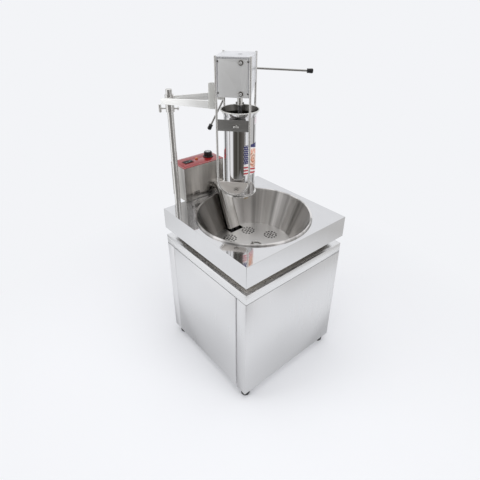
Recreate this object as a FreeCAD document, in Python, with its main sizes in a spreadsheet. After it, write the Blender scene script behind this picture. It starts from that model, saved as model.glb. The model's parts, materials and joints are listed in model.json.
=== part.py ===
"""Churro maker: a fryer cabinet with an oil bowl, a lift-over heater head, and a swinging
extruder whose crank drives a toothed rack and piston down a steel barrel.

Frame: millimetres, +Z up, origin on the floor under the middle of the bounding box.
The door is on the -Y face and the heater head stands over the -X edge of the worktop.
"""
import FreeCAD, Part
import math
import os
import re
import Sketcher
from FreeCAD import Placement, Rotation, Vector

# Driving dimensions: millimetres, and degrees for the angles.
SIZES = {
    # cabinet
    "foot_height": 48, "foot_radius": 26, "foot_inset": 36, "foot_taper": 4,
    "cabinet_width": 643, "cabinet_depth": 643, "cabinet_height": 643,
    "sheet": 1.5, "fold": 22, "rail_height": 51, "seam": 0.8,
    "hinge_stile": 58, "corner_stile": 61, "finger_gap": 12,
    "door_thickness": 20, "door_seam": 2, "pin_radius": 3, "pin_length": 26, "pin_inset": 10,
    "pin_set_back": 5.5,
    "running_gap": 0.05, "clear_gap": 0.3,
    "catch_width": 44, "catch_depth": 15, "catch_height": 14,
    # worktop, plinth and bowl
    "worktop_width": 650, "worktop_depth": 650, "skirt_height": 111, "edge_round": 2,
    "recess_height": 44, "plinth_inset": 50, "plinth_sheet": 2, "skirt_return": 60,
    "ledge_height": 20, "ledge_reach": 22, "ledge_sheet": 2,
    "bowl_x": 12, "bowl_y": -8, "mouth_radius": 281, "rim_radius": 292, "rim_height": 9,
    "seat_radius": 206, "seat_depth": 176, "bowl_floor_radius": 186, "bowl_depth": 216,
    "bowl_sheet": 1.6, "bowl_opening_gap": 8,
    # strainer
    "strainer_gap": 0.5, "strainer_sheet": 2, "hole_radius": 3, "hole_pitch": 15.7,
    "cluster_rings": 2, "cluster_circle": 127, "cluster_count": 6, "cluster_turn": 30, "notch_width": 88,
    "notch_reach": 56,
    "lift_ring_radius": 26, "lift_ring_wire": 3, "lift_clip_width": 8,
    # heater head
    "head_width": 128, "head_length": 250, "head_height": 187, "head_gap": 3,
    "head_overhang": 109, "head_y": -72, "head_sheet": 1.2, "panel_thickness": 2,
    "hanger_width": 150, "hanger_drop": 62, "hanger_sheet": 3,
    "hanger_inset": 4, "vent_radius": 2.2, "vent_pitch": 9, "vent_columns": 4, "vent_lines": 2,
    "vent_start": 56, "vent_rise": 31, "vent_single": 37, "vent_single_rise": 35,
    "gland_radius": 11, "gland_length": 14, "gland_rise": 60, "gland_step": 4,
    "terminal_left": 12, "terminal_width": 28, "terminal_length": 120, "terminal_height": 24,
    "thermostat_width": 36, "thermostat_depth": 30, "spindle_radius": 3, "spindle_play": 0.5,
    "knob_x": -6, "knob_y": 74, "knob_radius": 21, "knob_skirt_radius": 27, "knob_roof": 6,
    "knob_skirt_height": 5, "knob_height": 28, "knob_taper": 1, "knob_round": 3, "knob_bevel": 2,
    "flute_count": 12, "flute_radius": 3, "flute_out": 2, "flute_floor": 1, "panel_play": 1,
    "lamp_x": -15, "lamp_y": 4, "lamp_radius": 8, "lamp_height": 6, "lamp_depth": 12,
    "lamp_shoulder": 2, "lamp_crown": 1,
    "rocker_x": -3, "rocker_y": -58, "rocker_length": 40, "rocker_width": 22,
    "bezel_border": 5, "bezel_height": 3, "rocker_depth": 18, "switch_wall": 0.7, "switch_floor": 6,
    "key_gap": 0.5, "key_inset": 2, "key_belly": 8, "key_edge": 5, "key_raised": 2.5, "key_middle": 1.6,
    "key_sunk": 2.2, "trunnion_radius": 1.5, "trunnion_drop": 2, "trunnion_reach": 0.5,
    "guard_y": 13, "guard_width": 74, "guard_depth": 34, "guard_round": 15,
    "guard_sheet": 1.5, "guard_rise": 50, "guard_bend": 45, "guard_wall_gap": 7.5, "guard_flange": 2.5,
    "guard_low": 168, "element_radius": 4.2, "element_outer": 150, "element_inner": 118,
    "element_bend": 18, "element_plate": 3, "element_rise": 14, "element_lead": 11,
    "element_near": 0.62, "element_far": 0.78,
    # post and arm
    "post_x": -295, "post_y": -255, "post_radius": 14.5, "post_height": 596, "post_bevel": 3,
    "socket_radius": 18, "socket_depth": 84, "socket_floor": 4,
    "collar_radius": 20, "collar_low": 493, "collar_height": 35.5, "collar_turn": 9,
    "collar_edge": 1, "screw_share": 0.42, "clamp_reach": 48, "clamp_bar": 36, "clamp_bar_over": 1,
    "lock_reach": 32, "lock_head_over": 3.5,
    "arm_turn": 40.5, "arm_reach": 304.4, "arm_side": 11.7,
    "arm_hub_radius": 20, "arm_hub_height": 42, "bar_thickness": 6,
    "bar_overrun": 29, "bar_height_post": 27, "bar_height_head": 34, "bar_rise": 6, "bar_lift": 1,
    "bracket_width": 27, "bracket_height": 110, "bracket_thickness": 5, "bracket_low": 534,
    # extruder frame and gear case
    "leg_spacing": 145.6, "frame_gap": 5.5, "rod_radius": 5, "rod_proud": 3, "bend_low": 132,
    "case_low": 585, "case_high": 746, "case_over": 1.6, "case_proud": 2, "case_sheet": 3,
    "case_back_rise": 45, "case_flange": 11, "case_lintel": 4, "overcut": 1,
    "front_plate_gap": 1, "front_plate_thickness": 5,
    "strap_middle": 465, "strap_height": 50, "plate_thickness": 4, "moon_top": 197,
    "thumb_low": 166, "thumb_screw_radius": 4, "thumb_wing": 11, "thumb_wing_height": 10,
    "thumb_wing_sheet": 3, "thumb_boss_over": 2.5, "thumb_boss_set": 6, "thumb_stand": 8,
    # barrel and die
    "barrel_offset": 15.4, "barrel_radius": 74, "barrel_wall": 1.5, "barrel_low": 118,
    "barrel_high": 520, "barrel_lip": 14.5, "barrel_rim_height": 5, "rim_round": 1,
    "rim_slope": 3, "rim_inner_drop": 2.6,
    "outlet_radius": 32, "die_lip": 6, "die_thickness": 5,
    "die_stud_inset": 8, "die_stud_radius": 3, "nozzle_radius": 20, "nozzle_length": 16,
    "nozzle_taper": 3, "nozzle_wall": 8, "star_points": 6, "star_tip": 7, "star_root": 4.5,
    "nut_boss_over": 3, "nut_boss_height": 9, "nut_wing_height": 10, "nut_drop": 12,
    # rack drive
    "rack_radius": 9, "tooth_module": 2, "pinion_teeth": 16, "tooth_play": 0.3,
    "pinion_width": 22, "rack_tooth_count": 66, "shaft_radius": 8, "bush_wall": 3, "bush_set": 1.2,
    "bush_length": 12, "bush_proud": 2, "bush_floor": 1, "shaft_set": 4, "crank_rise": 675,
    "piston_rise": 2, "piston_gap": 1, "seal_gap": 0.3, "piston_thickness": 22, "piston_edge": 2,
    "seal_width": 8, "seal_depth": 5, "seal_play": 0.1, "seal_lip": 1,
    "guide_radius": 12.5, "guide_low": 535, "guide_plate": 6,
    "guide_pin_radius": 8, "guide_pin_top": 724, "guide_pin_low": 601, "guide_pin_head": 11.5,
    "guide_head_height": 6, "guide_pin_reach": 15, "guide_nut_radius": 4.5, "guide_nut_rise": 9,
    "guide_nut_length": 8, "guide_nut_inset": 2, "cover_screw_radius": 3.5, "cover_screw_height": 2,
    "cover_screw_low": 17, "cover_screw_high": 18,
    "crank_out": 25.5, "crank_hub_radius": 20, "crank_hub_length": 34, "crank_length": 331,
    "crank_hub_floor": 4, "crank_hub_bore": 3, "crank_hub_bevel": 3, "crank_end": 6,
    "crank_rod_radius": 4.6, "crank_angle": -1, "crank_spread": 116,
    "grip_radius": 10.5, "grip_length": 28,
}

doc = FreeCAD.newDocument("churro_maker")
sheet = doc.addObject("Spreadsheet::Sheet", "Sizes")
for row, (alias, number) in enumerate(SIZES.items(), start=1):
    sheet.set(f"A{row}", alias)
    sheet.set(f"B{row}", str(number))
    sheet.setAlias(f"B{row}", alias)
doc.recompute()

FUNCTIONS = {"sin", "cos", "tan", "sqrt"}
SUBPARTS = []


def formula(text):
    """Gives each alias in an expression the name of the sheet that holds it."""
    def named(found):
        word = found.group()
        return word if word in FUNCTIONS else "Sizes." + word
    return re.sub(r"[a-z][a-z_]*", named, str(text))


def size(text):
    """The value of an expression of aliases."""
    return float(sheet.evalExpression(formula(text)))


def bind(item, prop, text):
    item.setExpression(prop, formula(text))


# Heights and places that several pieces share.
CABINET_TOP = "(foot_height + cabinet_height)"
WORKTOP = "(foot_height + cabinet_height + recess_height + skirt_height)"
STRAINER_Z = f"({WORKTOP} - seat_depth)"
BOWL_FLOOR = f"({WORKTOP} - bowl_depth)"
HEAD_LOW = f"({WORKTOP} + head_gap)"
HEAD_HIGH = f"({HEAD_LOW} + head_height)"
HEAD_LEFT = "(-worktop_width / 2 - head_overhang)"
HEAD_RIGHT = f"({HEAD_LEFT} + head_width)"
HEAD_MIDDLE = f"({HEAD_LEFT} + head_width / 2)"
SHAFT_OFFSET = "(barrel_offset - rack_radius + tooth_module - pinion_teeth * tooth_module / 2)"
SHIFT = size("head_overhang / 2")


# ---------------------------------------------------------------- placing and drawing
def on_cabinet(item, x="0", y="0", z="0"):
    """Places a piece in the cabinet's frame, whose origin is on the floor under its middle."""
    item.Placement = Placement(Vector(size(x) + SHIFT, size(y), size(z)), Rotation())


def on_arm(item, x="0", y="0", z="0", turn=0.0):
    """Places a piece in the arm's frame: X from the post towards the extruder, Z at the worktop."""
    angle = size("arm_turn")
    frame = Placement(
        Vector(size("post_x") + SHIFT, size("post_y"), size(WORKTOP)),
        Rotation(Vector(0, 0, 1), angle))
    local = Placement(Vector(size(x), size(y), size(z)), Rotation(Vector(0, 0, 1), turn))
    item.Placement = frame.multiply(local)


def in_frame(item, x="0", y="0", z="0", turn=0.0):
    """Places a piece from the middle of the extruder's frame, with Z at the worktop."""
    on_arm(item, f"arm_reach + {x}", f"arm_side + {y}", z, turn)


def named(item, label):
    item.Label = label
    SUBPARTS.append(item)
    return item


def bare_body(label):
    """A body that belongs to a group of identical pieces."""
    body = doc.addObject("PartDesign::Body", label)
    body.Label = label
    return body


def new_body(label):
    return named(bare_body(label), label)


def rectangle(left, right, low, high):
    return [(left, low), (right, low), (right, high), (left, high)]


def circle(x, y, radius):
    return ("circle", x, y, radius)


def draw(body, role, loops, offset="0"):
    """Draws closed outlines on one of the body's own origin planes, bound to the sheet."""
    sketch = body.newObject("Sketcher::SketchObject", body.Label + "_sketch")
    plane = [face for face in body.Origin.OriginFeatures if face.Role == role][0]
    sketch.AttachmentSupport = [(plane, "")]
    sketch.MapMode = "FlatFace"
    bind(sketch, "AttachmentOffset.Base.z", offset)
    for loop in loops:
        if loop[0] == "circle":
            draw_circle(sketch, *loop[1:])
        else:
            draw_polygon(sketch, loop)
    return sketch


def hold(sketch, kind, where, number, text):
    """Adds one dimension and binds it to an expression."""
    index = sketch.addConstraint(Sketcher.Constraint(kind, *where, number))
    sketch.setExpression(f"Constraints[{index}]", formula(text))


def draw_polygon(sketch, corners):
    points = [Vector(size(x), size(y), 0) for x, y in corners]
    first = sketch.GeometryCount
    count = len(points)
    for index in range(count):
        line = Part.LineSegment(points[index], points[(index + 1) % count])
        sketch.addGeometry(line)
    for index in range(count):
        here = first + index
        following = first + (index + 1) % count
        sketch.addConstraint(Sketcher.Constraint("Coincident", here, 2, following, 1))
    for index, (x, y) in enumerate(corners):
        hold(sketch, "DistanceX", (-1, 1, first + index, 1), points[index].x, x)
        hold(sketch, "DistanceY", (-1, 1, first + index, 1), points[index].y, y)


def draw_circle(sketch, x, y, radius):
    centre = Vector(size(x), size(y), 0)
    index = sketch.addGeometry(Part.Circle(centre, Vector(0, 0, 1), size(radius)))
    hold(sketch, "DistanceX", (-1, 1, index, 3), centre.x, x)
    hold(sketch, "DistanceY", (-1, 1, index, 3), centre.y, y)
    hold(sketch, "Radius", (index,), size(radius), radius)


def pad(body, sketch, length, backwards=False, middle=False):
    feature = body.newObject("PartDesign::Pad", body.Label + "_pad")
    feature.Profile = sketch
    feature.Midplane = middle
    feature.Reversed = backwards
    bind(feature, "Length", length)
    return feature


def pocket(body, sketch, length=None, backwards=False):
    """Cuts a sketch out of the body, right through both ways where no length is given."""
    feature = body.newObject("PartDesign::Pocket", body.Label + "_pocket")
    feature.Profile = sketch
    feature.Reversed = backwards
    if length is None:
        feature.Type = "ThroughAll"
        feature.Midplane = True
    else:
        bind(feature, "Length", length)
    return feature


def revolve(body, loops):
    """Turns outlines drawn in the XZ plane about the body's Z axis."""
    sketch = draw(body, "XZ_Plane", loops)
    feature = body.newObject("PartDesign::Revolution", body.Label + "_turning")
    feature.Profile = sketch
    feature.ReferenceAxis = (sketch, ["V_Axis"])
    feature.Angle = 360
    return feature


def round_edges(body, radius, wanted, kind="PartDesign::Fillet"):
    """Rounds or bevels the edges of the body so far that a test picks out."""
    doc.recompute()
    tip = body.Tip
    names = [f"Edge{n}" for n, edge in enumerate(tip.Shape.Edges, start=1) if wanted(edge)]
    feature = body.newObject(kind, body.Label + "_edges")
    feature.Base = (tip, names)
    bind(feature, "Size" if kind.endswith("Chamfer") else "Radius", radius)
    return feature


def is_upright(edge):
    if edge.Curve.TypeId != "Part::GeomLine":
        return False
    return abs(edge.Curve.Direction.z) > 0.999


def is_level_at(edge, height):
    return abs(edge.BoundBox.ZMin - height) < 1e-4 and abs(edge.BoundBox.ZMax - height) < 1e-4


def box(left, right, front, back, low, high):
    """A plain block between six expressions, in the frame it is placed in."""
    item = doc.addObject("Part::Box", "block")
    bind(item, "Length", f"({right}) - ({left})")
    bind(item, "Width", f"({back}) - ({front})")
    bind(item, "Height", f"({high}) - ({low})")
    bind(item, "Placement.Base.x", left)
    bind(item, "Placement.Base.y", front)
    bind(item, "Placement.Base.z", low)
    return item


def cylinder(radius, x, y, z, length, direction=Vector(0, 0, 1)):
    """A round bar from a point along a direction."""
    item = doc.addObject("Part::Cylinder", "bar")
    bind(item, "Radius", radius)
    bind(item, "Height", length)
    item.Placement = Placement(Vector(size(x), size(y), size(z)), Rotation(Vector(0, 0, 1), direction))
    return item


def cone(low_radius, high_radius, x, y, z, height):
    item = doc.addObject("Part::Cone", "taper")
    bind(item, "Radius1", low_radius)
    bind(item, "Radius2", high_radius)
    bind(item, "Height", height)
    item.Placement = Placement(Vector(size(x), size(y), size(z)), Rotation())
    return item


def group(label, items):
    item = doc.addObject("Part::Compound", label)
    item.Links = items
    return named(item, label)


def fused(label, items):
    item = doc.addObject("Part::MultiFuse", label)
    item.Shapes = items
    item.Refine = True
    return named(item, label)


def less(label, base, tools):
    """A base with tools cut away."""
    tool = tools[0]
    if len(tools) > 1:
        tool = doc.addObject("Part::MultiFuse", label + "_tools")
        tool.Shapes = tools
    item = doc.addObject("Part::Cut", label)
    item.Base = base
    item.Tool = tool
    return named(item, label)


def shaped(label, shape):
    """A piece whose form only the shape functions make."""
    item = doc.addObject("Part::Feature", label)
    item.Shape = shape
    return named(item, label)


# ---------------------------------------------------------------- cabinet
HALF_W = "cabinet_width / 2"
HALF_D = "cabinet_depth / 2"
PANEL_TOP = f"({CABINET_TOP} - rail_height - seam)"
DOOR_BEHIND = "(door_thickness - pin_set_back)"
DOOR_SWEEP = f"sqrt(pin_inset * pin_inset + {DOOR_BEHIND} * {DOOR_BEHIND})"


def make_base_pan():
    """The cabinet's floor, a tray with its edges folded up."""
    body = new_body("base_pan")
    side = f"{HALF_W} - sheet"
    front = f"-{HALF_D} + pin_set_back + {DOOR_SWEEP} + clear_gap"
    back = f"{HALF_D} - 2 * sheet"
    pad(body, draw(body, "XY_Plane", [rectangle(f"-({side})", side, front, back)]), "fold")
    inside = rectangle(f"-({side}) + sheet", f"{side} - sheet", f"{front} + sheet", f"{back} - sheet")
    pocket(body, draw(body, "XY_Plane", [inside], "fold"), "fold - sheet")
    on_cabinet(body, z="foot_height")


def make_side_panel(label, side):
    """A side sheet with its front and back edges folded inwards; side is -1 or 1."""
    body = new_body(label)
    outer = f"{side} * {HALF_W}"
    inner = f"{side} * ({HALF_W} - sheet)"
    lip = f"{side} * ({HALF_W} - fold)"
    front = f"-{HALF_D} + sheet"
    back = f"{HALF_D} - sheet"
    corners = [
        (outer, front), (outer, back), (lip, back), (lip, f"{back} - sheet"), (inner, f"{back} - sheet"),
        (inner, f"{front} + sheet"), (lip, f"{front} + sheet"), (lip, front)]
    outline = draw(body, "XY_Plane", [corners])
    pad(body, outline, f"{PANEL_TOP} - foot_height")
    on_cabinet(body, z="foot_height")


def make_back_panel():
    """The back sheet, with slots to let the heat out."""
    body = new_body("back_panel")
    outline = draw(body, "XZ_Plane", [rectangle(f"-{HALF_W}", HALF_W, "foot_height", PANEL_TOP)])
    pad(body, outline, "sheet", backwards=True)
    slots = []
    for row in range(4):
        low = f"foot_height + cabinet_height / 2 + {row} * fold"
        slots.append(rectangle("-cabinet_width / 8", "cabinet_width / 8", low, f"{low} + fold / 3"))
    pocket(body, draw(body, "XZ_Plane", slots))
    on_cabinet(body, y=f"{HALF_D} - sheet")


def make_stile(label, left, right):
    """An upright of the front frame, folded back beside the door."""
    body = bare_body(label)
    front = f"-{HALF_D}"
    back = f"-{HALF_D} + sheet"
    deep = f"-{HALF_D} + fold"
    if label == "hinge_stile":
        corners = [(left, front), (right, front), (right, deep), (f"{right} - sheet", deep),
                   (f"{right} - sheet", back), (left, back)]
    else:
        corners = [(left, front), (right, front), (right, back), (f"{left} + sheet", back),
                   (f"{left} + sheet", deep), (left, deep)]
    pad(body, draw(body, "XY_Plane", [corners]), f"{PANEL_TOP} - foot_height")
    on_cabinet(body, z="foot_height")
    return body


def make_stiles():
    """The two uprights of the front frame."""
    group("front_stiles", [
        make_stile("hinge_stile", f"-{HALF_W}", f"-{HALF_W} + hinge_stile"),
        make_stile("corner_stile", f"{HALF_W} - corner_stile", HALF_W)])


def make_cabinet_top():
    """The lid of the cabinet: a folded pan with the bowl's opening."""
    body = new_body("cabinet_top")
    outline = rectangle(f"-{HALF_W}", HALF_W, f"-{HALF_D}", HALF_D)
    pad(body, draw(body, "XY_Plane", [outline]), "rail_height")
    inner_w = f"{HALF_W} - sheet"
    inner_d = f"{HALF_D} - sheet"
    hollow = draw(body, "XY_Plane", [rectangle(f"-({inner_w})", inner_w, f"-({inner_d})", inner_d)])
    pocket(body, hollow, "rail_height - sheet", backwards=True)
    pocket(body, draw(body, "XY_Plane", [circle("bowl_x", "bowl_y", BOWL_OPENING)]))
    on_cabinet(body, z=f"{CABINET_TOP} - rail_height")


BOWL_OPENING = ("(seat_radius + (mouth_radius - seat_radius)"
                " * (seat_depth - recess_height - skirt_height) / seat_depth + bowl_opening_gap)")
DOOR_LEFT = f"(-{HALF_W} + hinge_stile + door_seam)"
DOOR_RIGHT = f"({HALF_W} - corner_stile - finger_gap)"
DOOR_LOW = "(foot_height + door_seam)"
DOOR_HIGH = f"({PANEL_TOP} - door_seam)"
PIN_X = f"({DOOR_LEFT} + pin_inset)"
PIN_Y = f"(-{HALF_D} + pin_set_back)"


def make_door():
    """A folded outer skin with a liner let into its back."""
    skin = new_body("door_skin")
    face = draw(skin, "XZ_Plane", [rectangle(DOOR_LEFT, DOOR_RIGHT, DOOR_LOW, DOOR_HIGH)])
    pad(skin, face, "door_thickness", backwards=True)
    inside = rectangle(
        f"{DOOR_LEFT} + sheet", f"{DOOR_RIGHT} - sheet", f"{DOOR_LOW} + sheet", f"{DOOR_HIGH} - sheet")
    hollow = draw(skin, "XZ_Plane", [inside], "-door_thickness")
    pocket(skin, hollow, "door_thickness - sheet", backwards=True)
    bores = draw(skin, "XY_Plane", [circle(PIN_X, "pin_set_back", "pin_radius + running_gap")])
    pocket(skin, bores)
    on_cabinet(skin, y=f"-{HALF_D}")
    liner = new_body("door_liner")
    inner = "pin_inset + pin_radius + clear_gap"
    corners = rectangle(
        f"{DOOR_LEFT} + sheet + {inner}", f"{DOOR_RIGHT} - sheet - clear_gap",
        f"{DOOR_LOW} + sheet + clear_gap", f"{DOOR_HIGH} - sheet - clear_gap")
    sheet_face = draw(liner, "XZ_Plane", [corners])
    pad(liner, sheet_face, "door_thickness - 2 * sheet", backwards=True)
    field = rectangle(
        f"{DOOR_LEFT} + 2 * sheet + {inner}", f"{DOOR_RIGHT} - 2 * sheet - clear_gap",
        f"{DOOR_LOW} + 2 * sheet + clear_gap", f"{DOOR_HIGH} - 2 * sheet - clear_gap")
    pocket(liner, draw(liner, "XZ_Plane", [field]), "door_thickness - 3 * sheet")
    on_cabinet(liner, y=f"-{HALF_D} + sheet + clear_gap / 2")


def make_door_pins():
    """Top and bottom pivots that the door turns on, each held in the frame."""
    upper_tab = f"{PANEL_TOP} - clear_gap"
    lower = cylinder("pin_radius", PIN_X, PIN_Y, "foot_height", "pin_length")
    upper = cylinder("pin_radius", PIN_X, PIN_Y, f"{upper_tab} - pin_length", "pin_length")
    tab_left = f"-{HALF_W} + hinge_stile + clear_gap"
    tab_right = f"{PIN_X} + fold / 2"
    tab_front = f"-{HALF_D} + door_seam"
    tab_back = f"-{HALF_D} + fold"
    low_tab = box(tab_left, tab_right, tab_front, tab_back, "foot_height", "foot_height + sheet")
    high_tab = box(tab_left, tab_right, tab_front, tab_back, f"{upper_tab} - sheet", upper_tab)
    pins = []
    for pin, tab in ((lower, low_tab), (upper, high_tab)):
        pair = doc.addObject("Part::MultiFuse", "pivot")
        pair.Shapes = [pin, tab]
        pins.append(pair)
    on_cabinet(group("door_pins", pins))


def make_catch():
    """A magnet block behind the corner stile that holds the door shut."""
    back = f"-{HALF_D} + door_thickness + clear_gap"
    catch = less(
        "magnet_catch",
        box(f"{DOOR_RIGHT} - catch_width / 2", f"{HALF_W} - corner_stile + sheet + catch_width / 2", back,
            f"{back} + catch_depth", f"{DOOR_HIGH} - 3 * catch_height", f"{DOOR_HIGH} - 2 * catch_height"),
        [box(f"{HALF_W} - corner_stile - clear_gap", f"{HALF_W} - corner_stile + sheet + clear_gap",
             f"{back} - sheet", f"-{HALF_D} + fold + clear_gap",
             f"{DOOR_HIGH} - 4 * catch_height", f"{DOOR_HIGH}")])
    on_cabinet(catch)


def make_feet():
    """Four rubber feet, wider at the top, each with its screw plate moulded in."""
    feet = []
    for side in (-1, 1):
        for end in (-1, 1):
            x = f"{side} * ({HALF_W} - foot_inset)"
            y = f"{end} * ({HALF_D} - foot_inset)"
            feet.append(cone("foot_radius - foot_taper", "foot_radius", x, y, "0", "foot_height"))
    on_cabinet(group("feet", feet))


# ---------------------------------------------------------------- worktop and bowl
def make_plinth():
    """The set-back frame that carries the worktop, with a ledge half way up the gap."""
    body = new_body("recess_plinth")
    half_w = "worktop_width / 2 - plinth_inset"
    half_d = "worktop_depth / 2 - plinth_inset"
    outer = rectangle(f"-({half_w})", half_w, f"-({half_d})", half_d)
    pad(body, draw(body, "XY_Plane", [outer]), "recess_height")
    ledge = rectangle(
        f"-({half_w}) - ledge_reach", f"{half_w} + ledge_reach",
        f"-({half_d}) - ledge_reach", f"{half_d} + ledge_reach")
    pad(body, draw(body, "XY_Plane", [ledge], "ledge_height"), "ledge_sheet")
    inner = rectangle(
        f"-({half_w}) + plinth_sheet", f"{half_w} - plinth_sheet",
        f"-({half_d}) + plinth_sheet", f"{half_d} - plinth_sheet")
    pocket(body, draw(body, "XY_Plane", [inner]))
    on_cabinet(body, z=CABINET_TOP)


def make_worktop():
    """The deep-skirted top, its edge returned onto the plinth, with holes for bowl and post."""
    body = new_body("worktop")
    half_w = "worktop_width / 2"
    half_d = "worktop_depth / 2"
    outline = rectangle(f"-{half_w}", half_w, f"-{half_d}", half_d)
    pad(body, draw(body, "XY_Plane", [outline]), "skirt_height")
    high = size("skirt_height")
    round_edges(body, "edge_round", lambda edge: is_upright(edge) or is_level_at(edge, high))
    inner = rectangle(f"-{half_w} + sheet", f"{half_w} - sheet", f"-{half_d} + sheet", f"{half_d} - sheet")
    pocket(body, draw(body, "XY_Plane", [inner], "sheet"), "skirt_height - 2 * sheet", backwards=True)
    under = rectangle(
        f"-{half_w} + skirt_return", f"{half_w} - skirt_return",
        f"-{half_d} + skirt_return", f"{half_d} - skirt_return")
    pocket(body, draw(body, "XY_Plane", [under]), "2 * sheet", backwards=True)
    holes = [
        circle("bowl_x", "bowl_y", "mouth_radius + sheet"),
        circle("post_x", "post_y", "post_radius + clear_gap")]
    pocket(body, draw(body, "XY_Plane", holes))
    on_cabinet(body, z=f"{WORKTOP} - skirt_height")


def make_bowl():
    """The oil bowl: a flat floor, a short steep foot, a long cone and a rolled rim."""
    body = new_body("oil_bowl")
    wall = "bowl_sheet"
    profile = [
        ("0", "-bowl_depth"), ("bowl_floor_radius", "-bowl_depth"),
        ("seat_radius + bowl_sheet", "-seat_depth"),
        ("mouth_radius", "-edge_round"), ("mouth_radius", "clear_gap"), ("rim_radius", "clear_gap"),
        ("rim_radius", "rim_height - 2 * edge_round"), ("rim_radius - 2 * edge_round", "rim_height"),
        ("mouth_radius", "rim_height"), (f"mouth_radius - {wall}", "rim_height - 2 * edge_round"),
        (f"mouth_radius - {wall}", "-edge_round"), ("seat_radius", "-seat_depth"),
        (f"bowl_floor_radius - {wall}", f"-bowl_depth + {wall}"), ("0", f"-bowl_depth + {wall}")]
    revolve(body, [profile])
    on_cabinet(body, "bowl_x", "bowl_y", WORKTOP)


STRAINER_RADIUS = "(seat_radius - strainer_gap)"


def make_strainer():
    """The perforated plate in the bowl, cut away where the heater guard comes down."""
    body = new_body("strainer_disc")
    pad(body, draw(body, "XY_Plane", [circle("0", "0", STRAINER_RADIUS)]), "strainer_sheet")
    middle = "guard_y - bowl_y"
    notch = rectangle(
        f"-{STRAINER_RADIUS} - notch_width", f"-{STRAINER_RADIUS} + notch_reach",
        f"{middle} - notch_width / 2", f"{middle} + notch_width / 2")
    pocket(body, draw(body, "XY_Plane", [notch]))
    holes = []
    count = int(size("cluster_count"))
    for cluster in range(count):
        angle = size("cluster_turn") + 360 * cluster / count
        across = f"cluster_circle * cos({angle})"
        along = f"cluster_circle * sin({angle})"
        holes.append(circle(across, along, "hole_radius"))
        for ring in range(1, int(size("cluster_rings")) + 1):
            for spoke in range(6 * ring):
                turn = 60 * spoke / ring
                holes.append(circle(
                    f"{across} + {ring} * hole_pitch * cos({turn})",
                    f"{along} + {ring} * hole_pitch * sin({turn})", "hole_radius"))
    pocket(body, draw(body, "XY_Plane", holes))
    on_cabinet(body, "bowl_x", "bowl_y", f"{STRAINER_Z} + clear_gap")


def make_lift_ring():
    """A wire ring that lies on the strainer, held by a clip bent over its wire."""
    top = f"{STRAINER_Z} + clear_gap + strainer_sheet"
    ring = doc.addObject("Part::Torus", "ring")
    bind(ring, "Radius1", "lift_ring_radius")
    bind(ring, "Radius2", "lift_ring_wire")
    ring.Placement = Placement(Vector(size("lift_ring_radius"), 0, 0), Rotation())
    on_cabinet(group("lift_ring", [ring]), "bowl_x", "bowl_y", f"{top} + lift_ring_wire + clear_gap")
    half = "lift_clip_width / 2"
    wire = "lift_ring_wire + 4 * clear_gap"
    roof = "2 * lift_ring_wire + 4 * clear_gap"
    block = box(f"-({wire}) - sheet", f"{wire} + sheet", f"-{half}", half, "0", f"{roof} + sheet")
    bore = box(f"-({wire})", wire, f"-{half} - sheet", f"{half} + sheet", "-sheet", roof)
    clip = less("lift_clip", block, [bore])
    on_cabinet(clip, "bowl_x", "bowl_y", top)


# ---------------------------------------------------------------- heater head
def make_control_box():
    """The upright steel housing of the heater controls, open at the top, with vents."""
    body = new_body("control_box")
    half_l = "head_length / 2"
    half_w = "head_width / 2"
    high = "head_height - panel_thickness"
    outline = rectangle(f"-{half_w}", half_w, f"-{half_l}", half_l)
    pad(body, draw(body, "XY_Plane", [outline]), high)
    round_edges(body, "edge_round", is_upright)
    inner = rectangle(
        f"-{half_w} + head_sheet", f"{half_w} - head_sheet",
        f"-{half_l} + head_sheet", f"{half_l} - head_sheet")
    pocket(body, draw(body, "XY_Plane", [inner], high), f"{high} - head_sheet")
    vents = [circle("-head_length / 2 + vent_single", "vent_single_rise", "vent_radius")]
    for column in range(int(size("vent_columns"))):
        for line in range(int(size("vent_lines"))):
            vents.append(circle(
                f"-head_length / 2 + vent_start + {column} * vent_pitch",
                f"vent_rise + {line} * vent_pitch", "vent_radius"))
    window_y = "guard_y - head_y"
    window_z = "guard_rise - head_gap"
    half_y = "(guard_width / 2 - guard_sheet)"
    half_z = "(guard_depth / 2 - guard_sheet)"
    vents.append(rectangle(
        f"{window_y} - {half_y}", f"{window_y} + {half_y}",
        f"{window_z} - {half_z}", f"{window_z} + {half_z}"))
    pocket(body, draw(body, "YZ_Plane", vents, "head_width / 2 + head_sheet"), "3 * head_sheet")
    on_cabinet(body, HEAD_MIDDLE, "head_y", HEAD_LOW)


def make_control_panel():
    """The red lid that carries the switch, the lamp and the thermostat knob."""
    body = new_body("control_panel")
    half_l = "head_length / 2"
    half_w = "head_width / 2"
    outline = rectangle(f"-{half_w}", half_w, f"-{half_l}", half_l)
    pad(body, draw(body, "XY_Plane", [outline]), "panel_thickness")
    openings = [
        circle("knob_x", "knob_y", "spindle_radius + panel_play"),
        circle("lamp_x", "lamp_y", "lamp_radius - lamp_shoulder + clear_gap"),
        rectangle(
            "rocker_x - rocker_width / 2 - panel_play", "rocker_x + rocker_width / 2 + panel_play",
            "rocker_y - rocker_length / 2 - panel_play", "rocker_y + rocker_length / 2 + panel_play")]
    pocket(body, draw(body, "XY_Plane", openings))
    on_cabinet(body, HEAD_MIDDLE, "head_y", f"{HEAD_HIGH} - panel_thickness")


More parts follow.
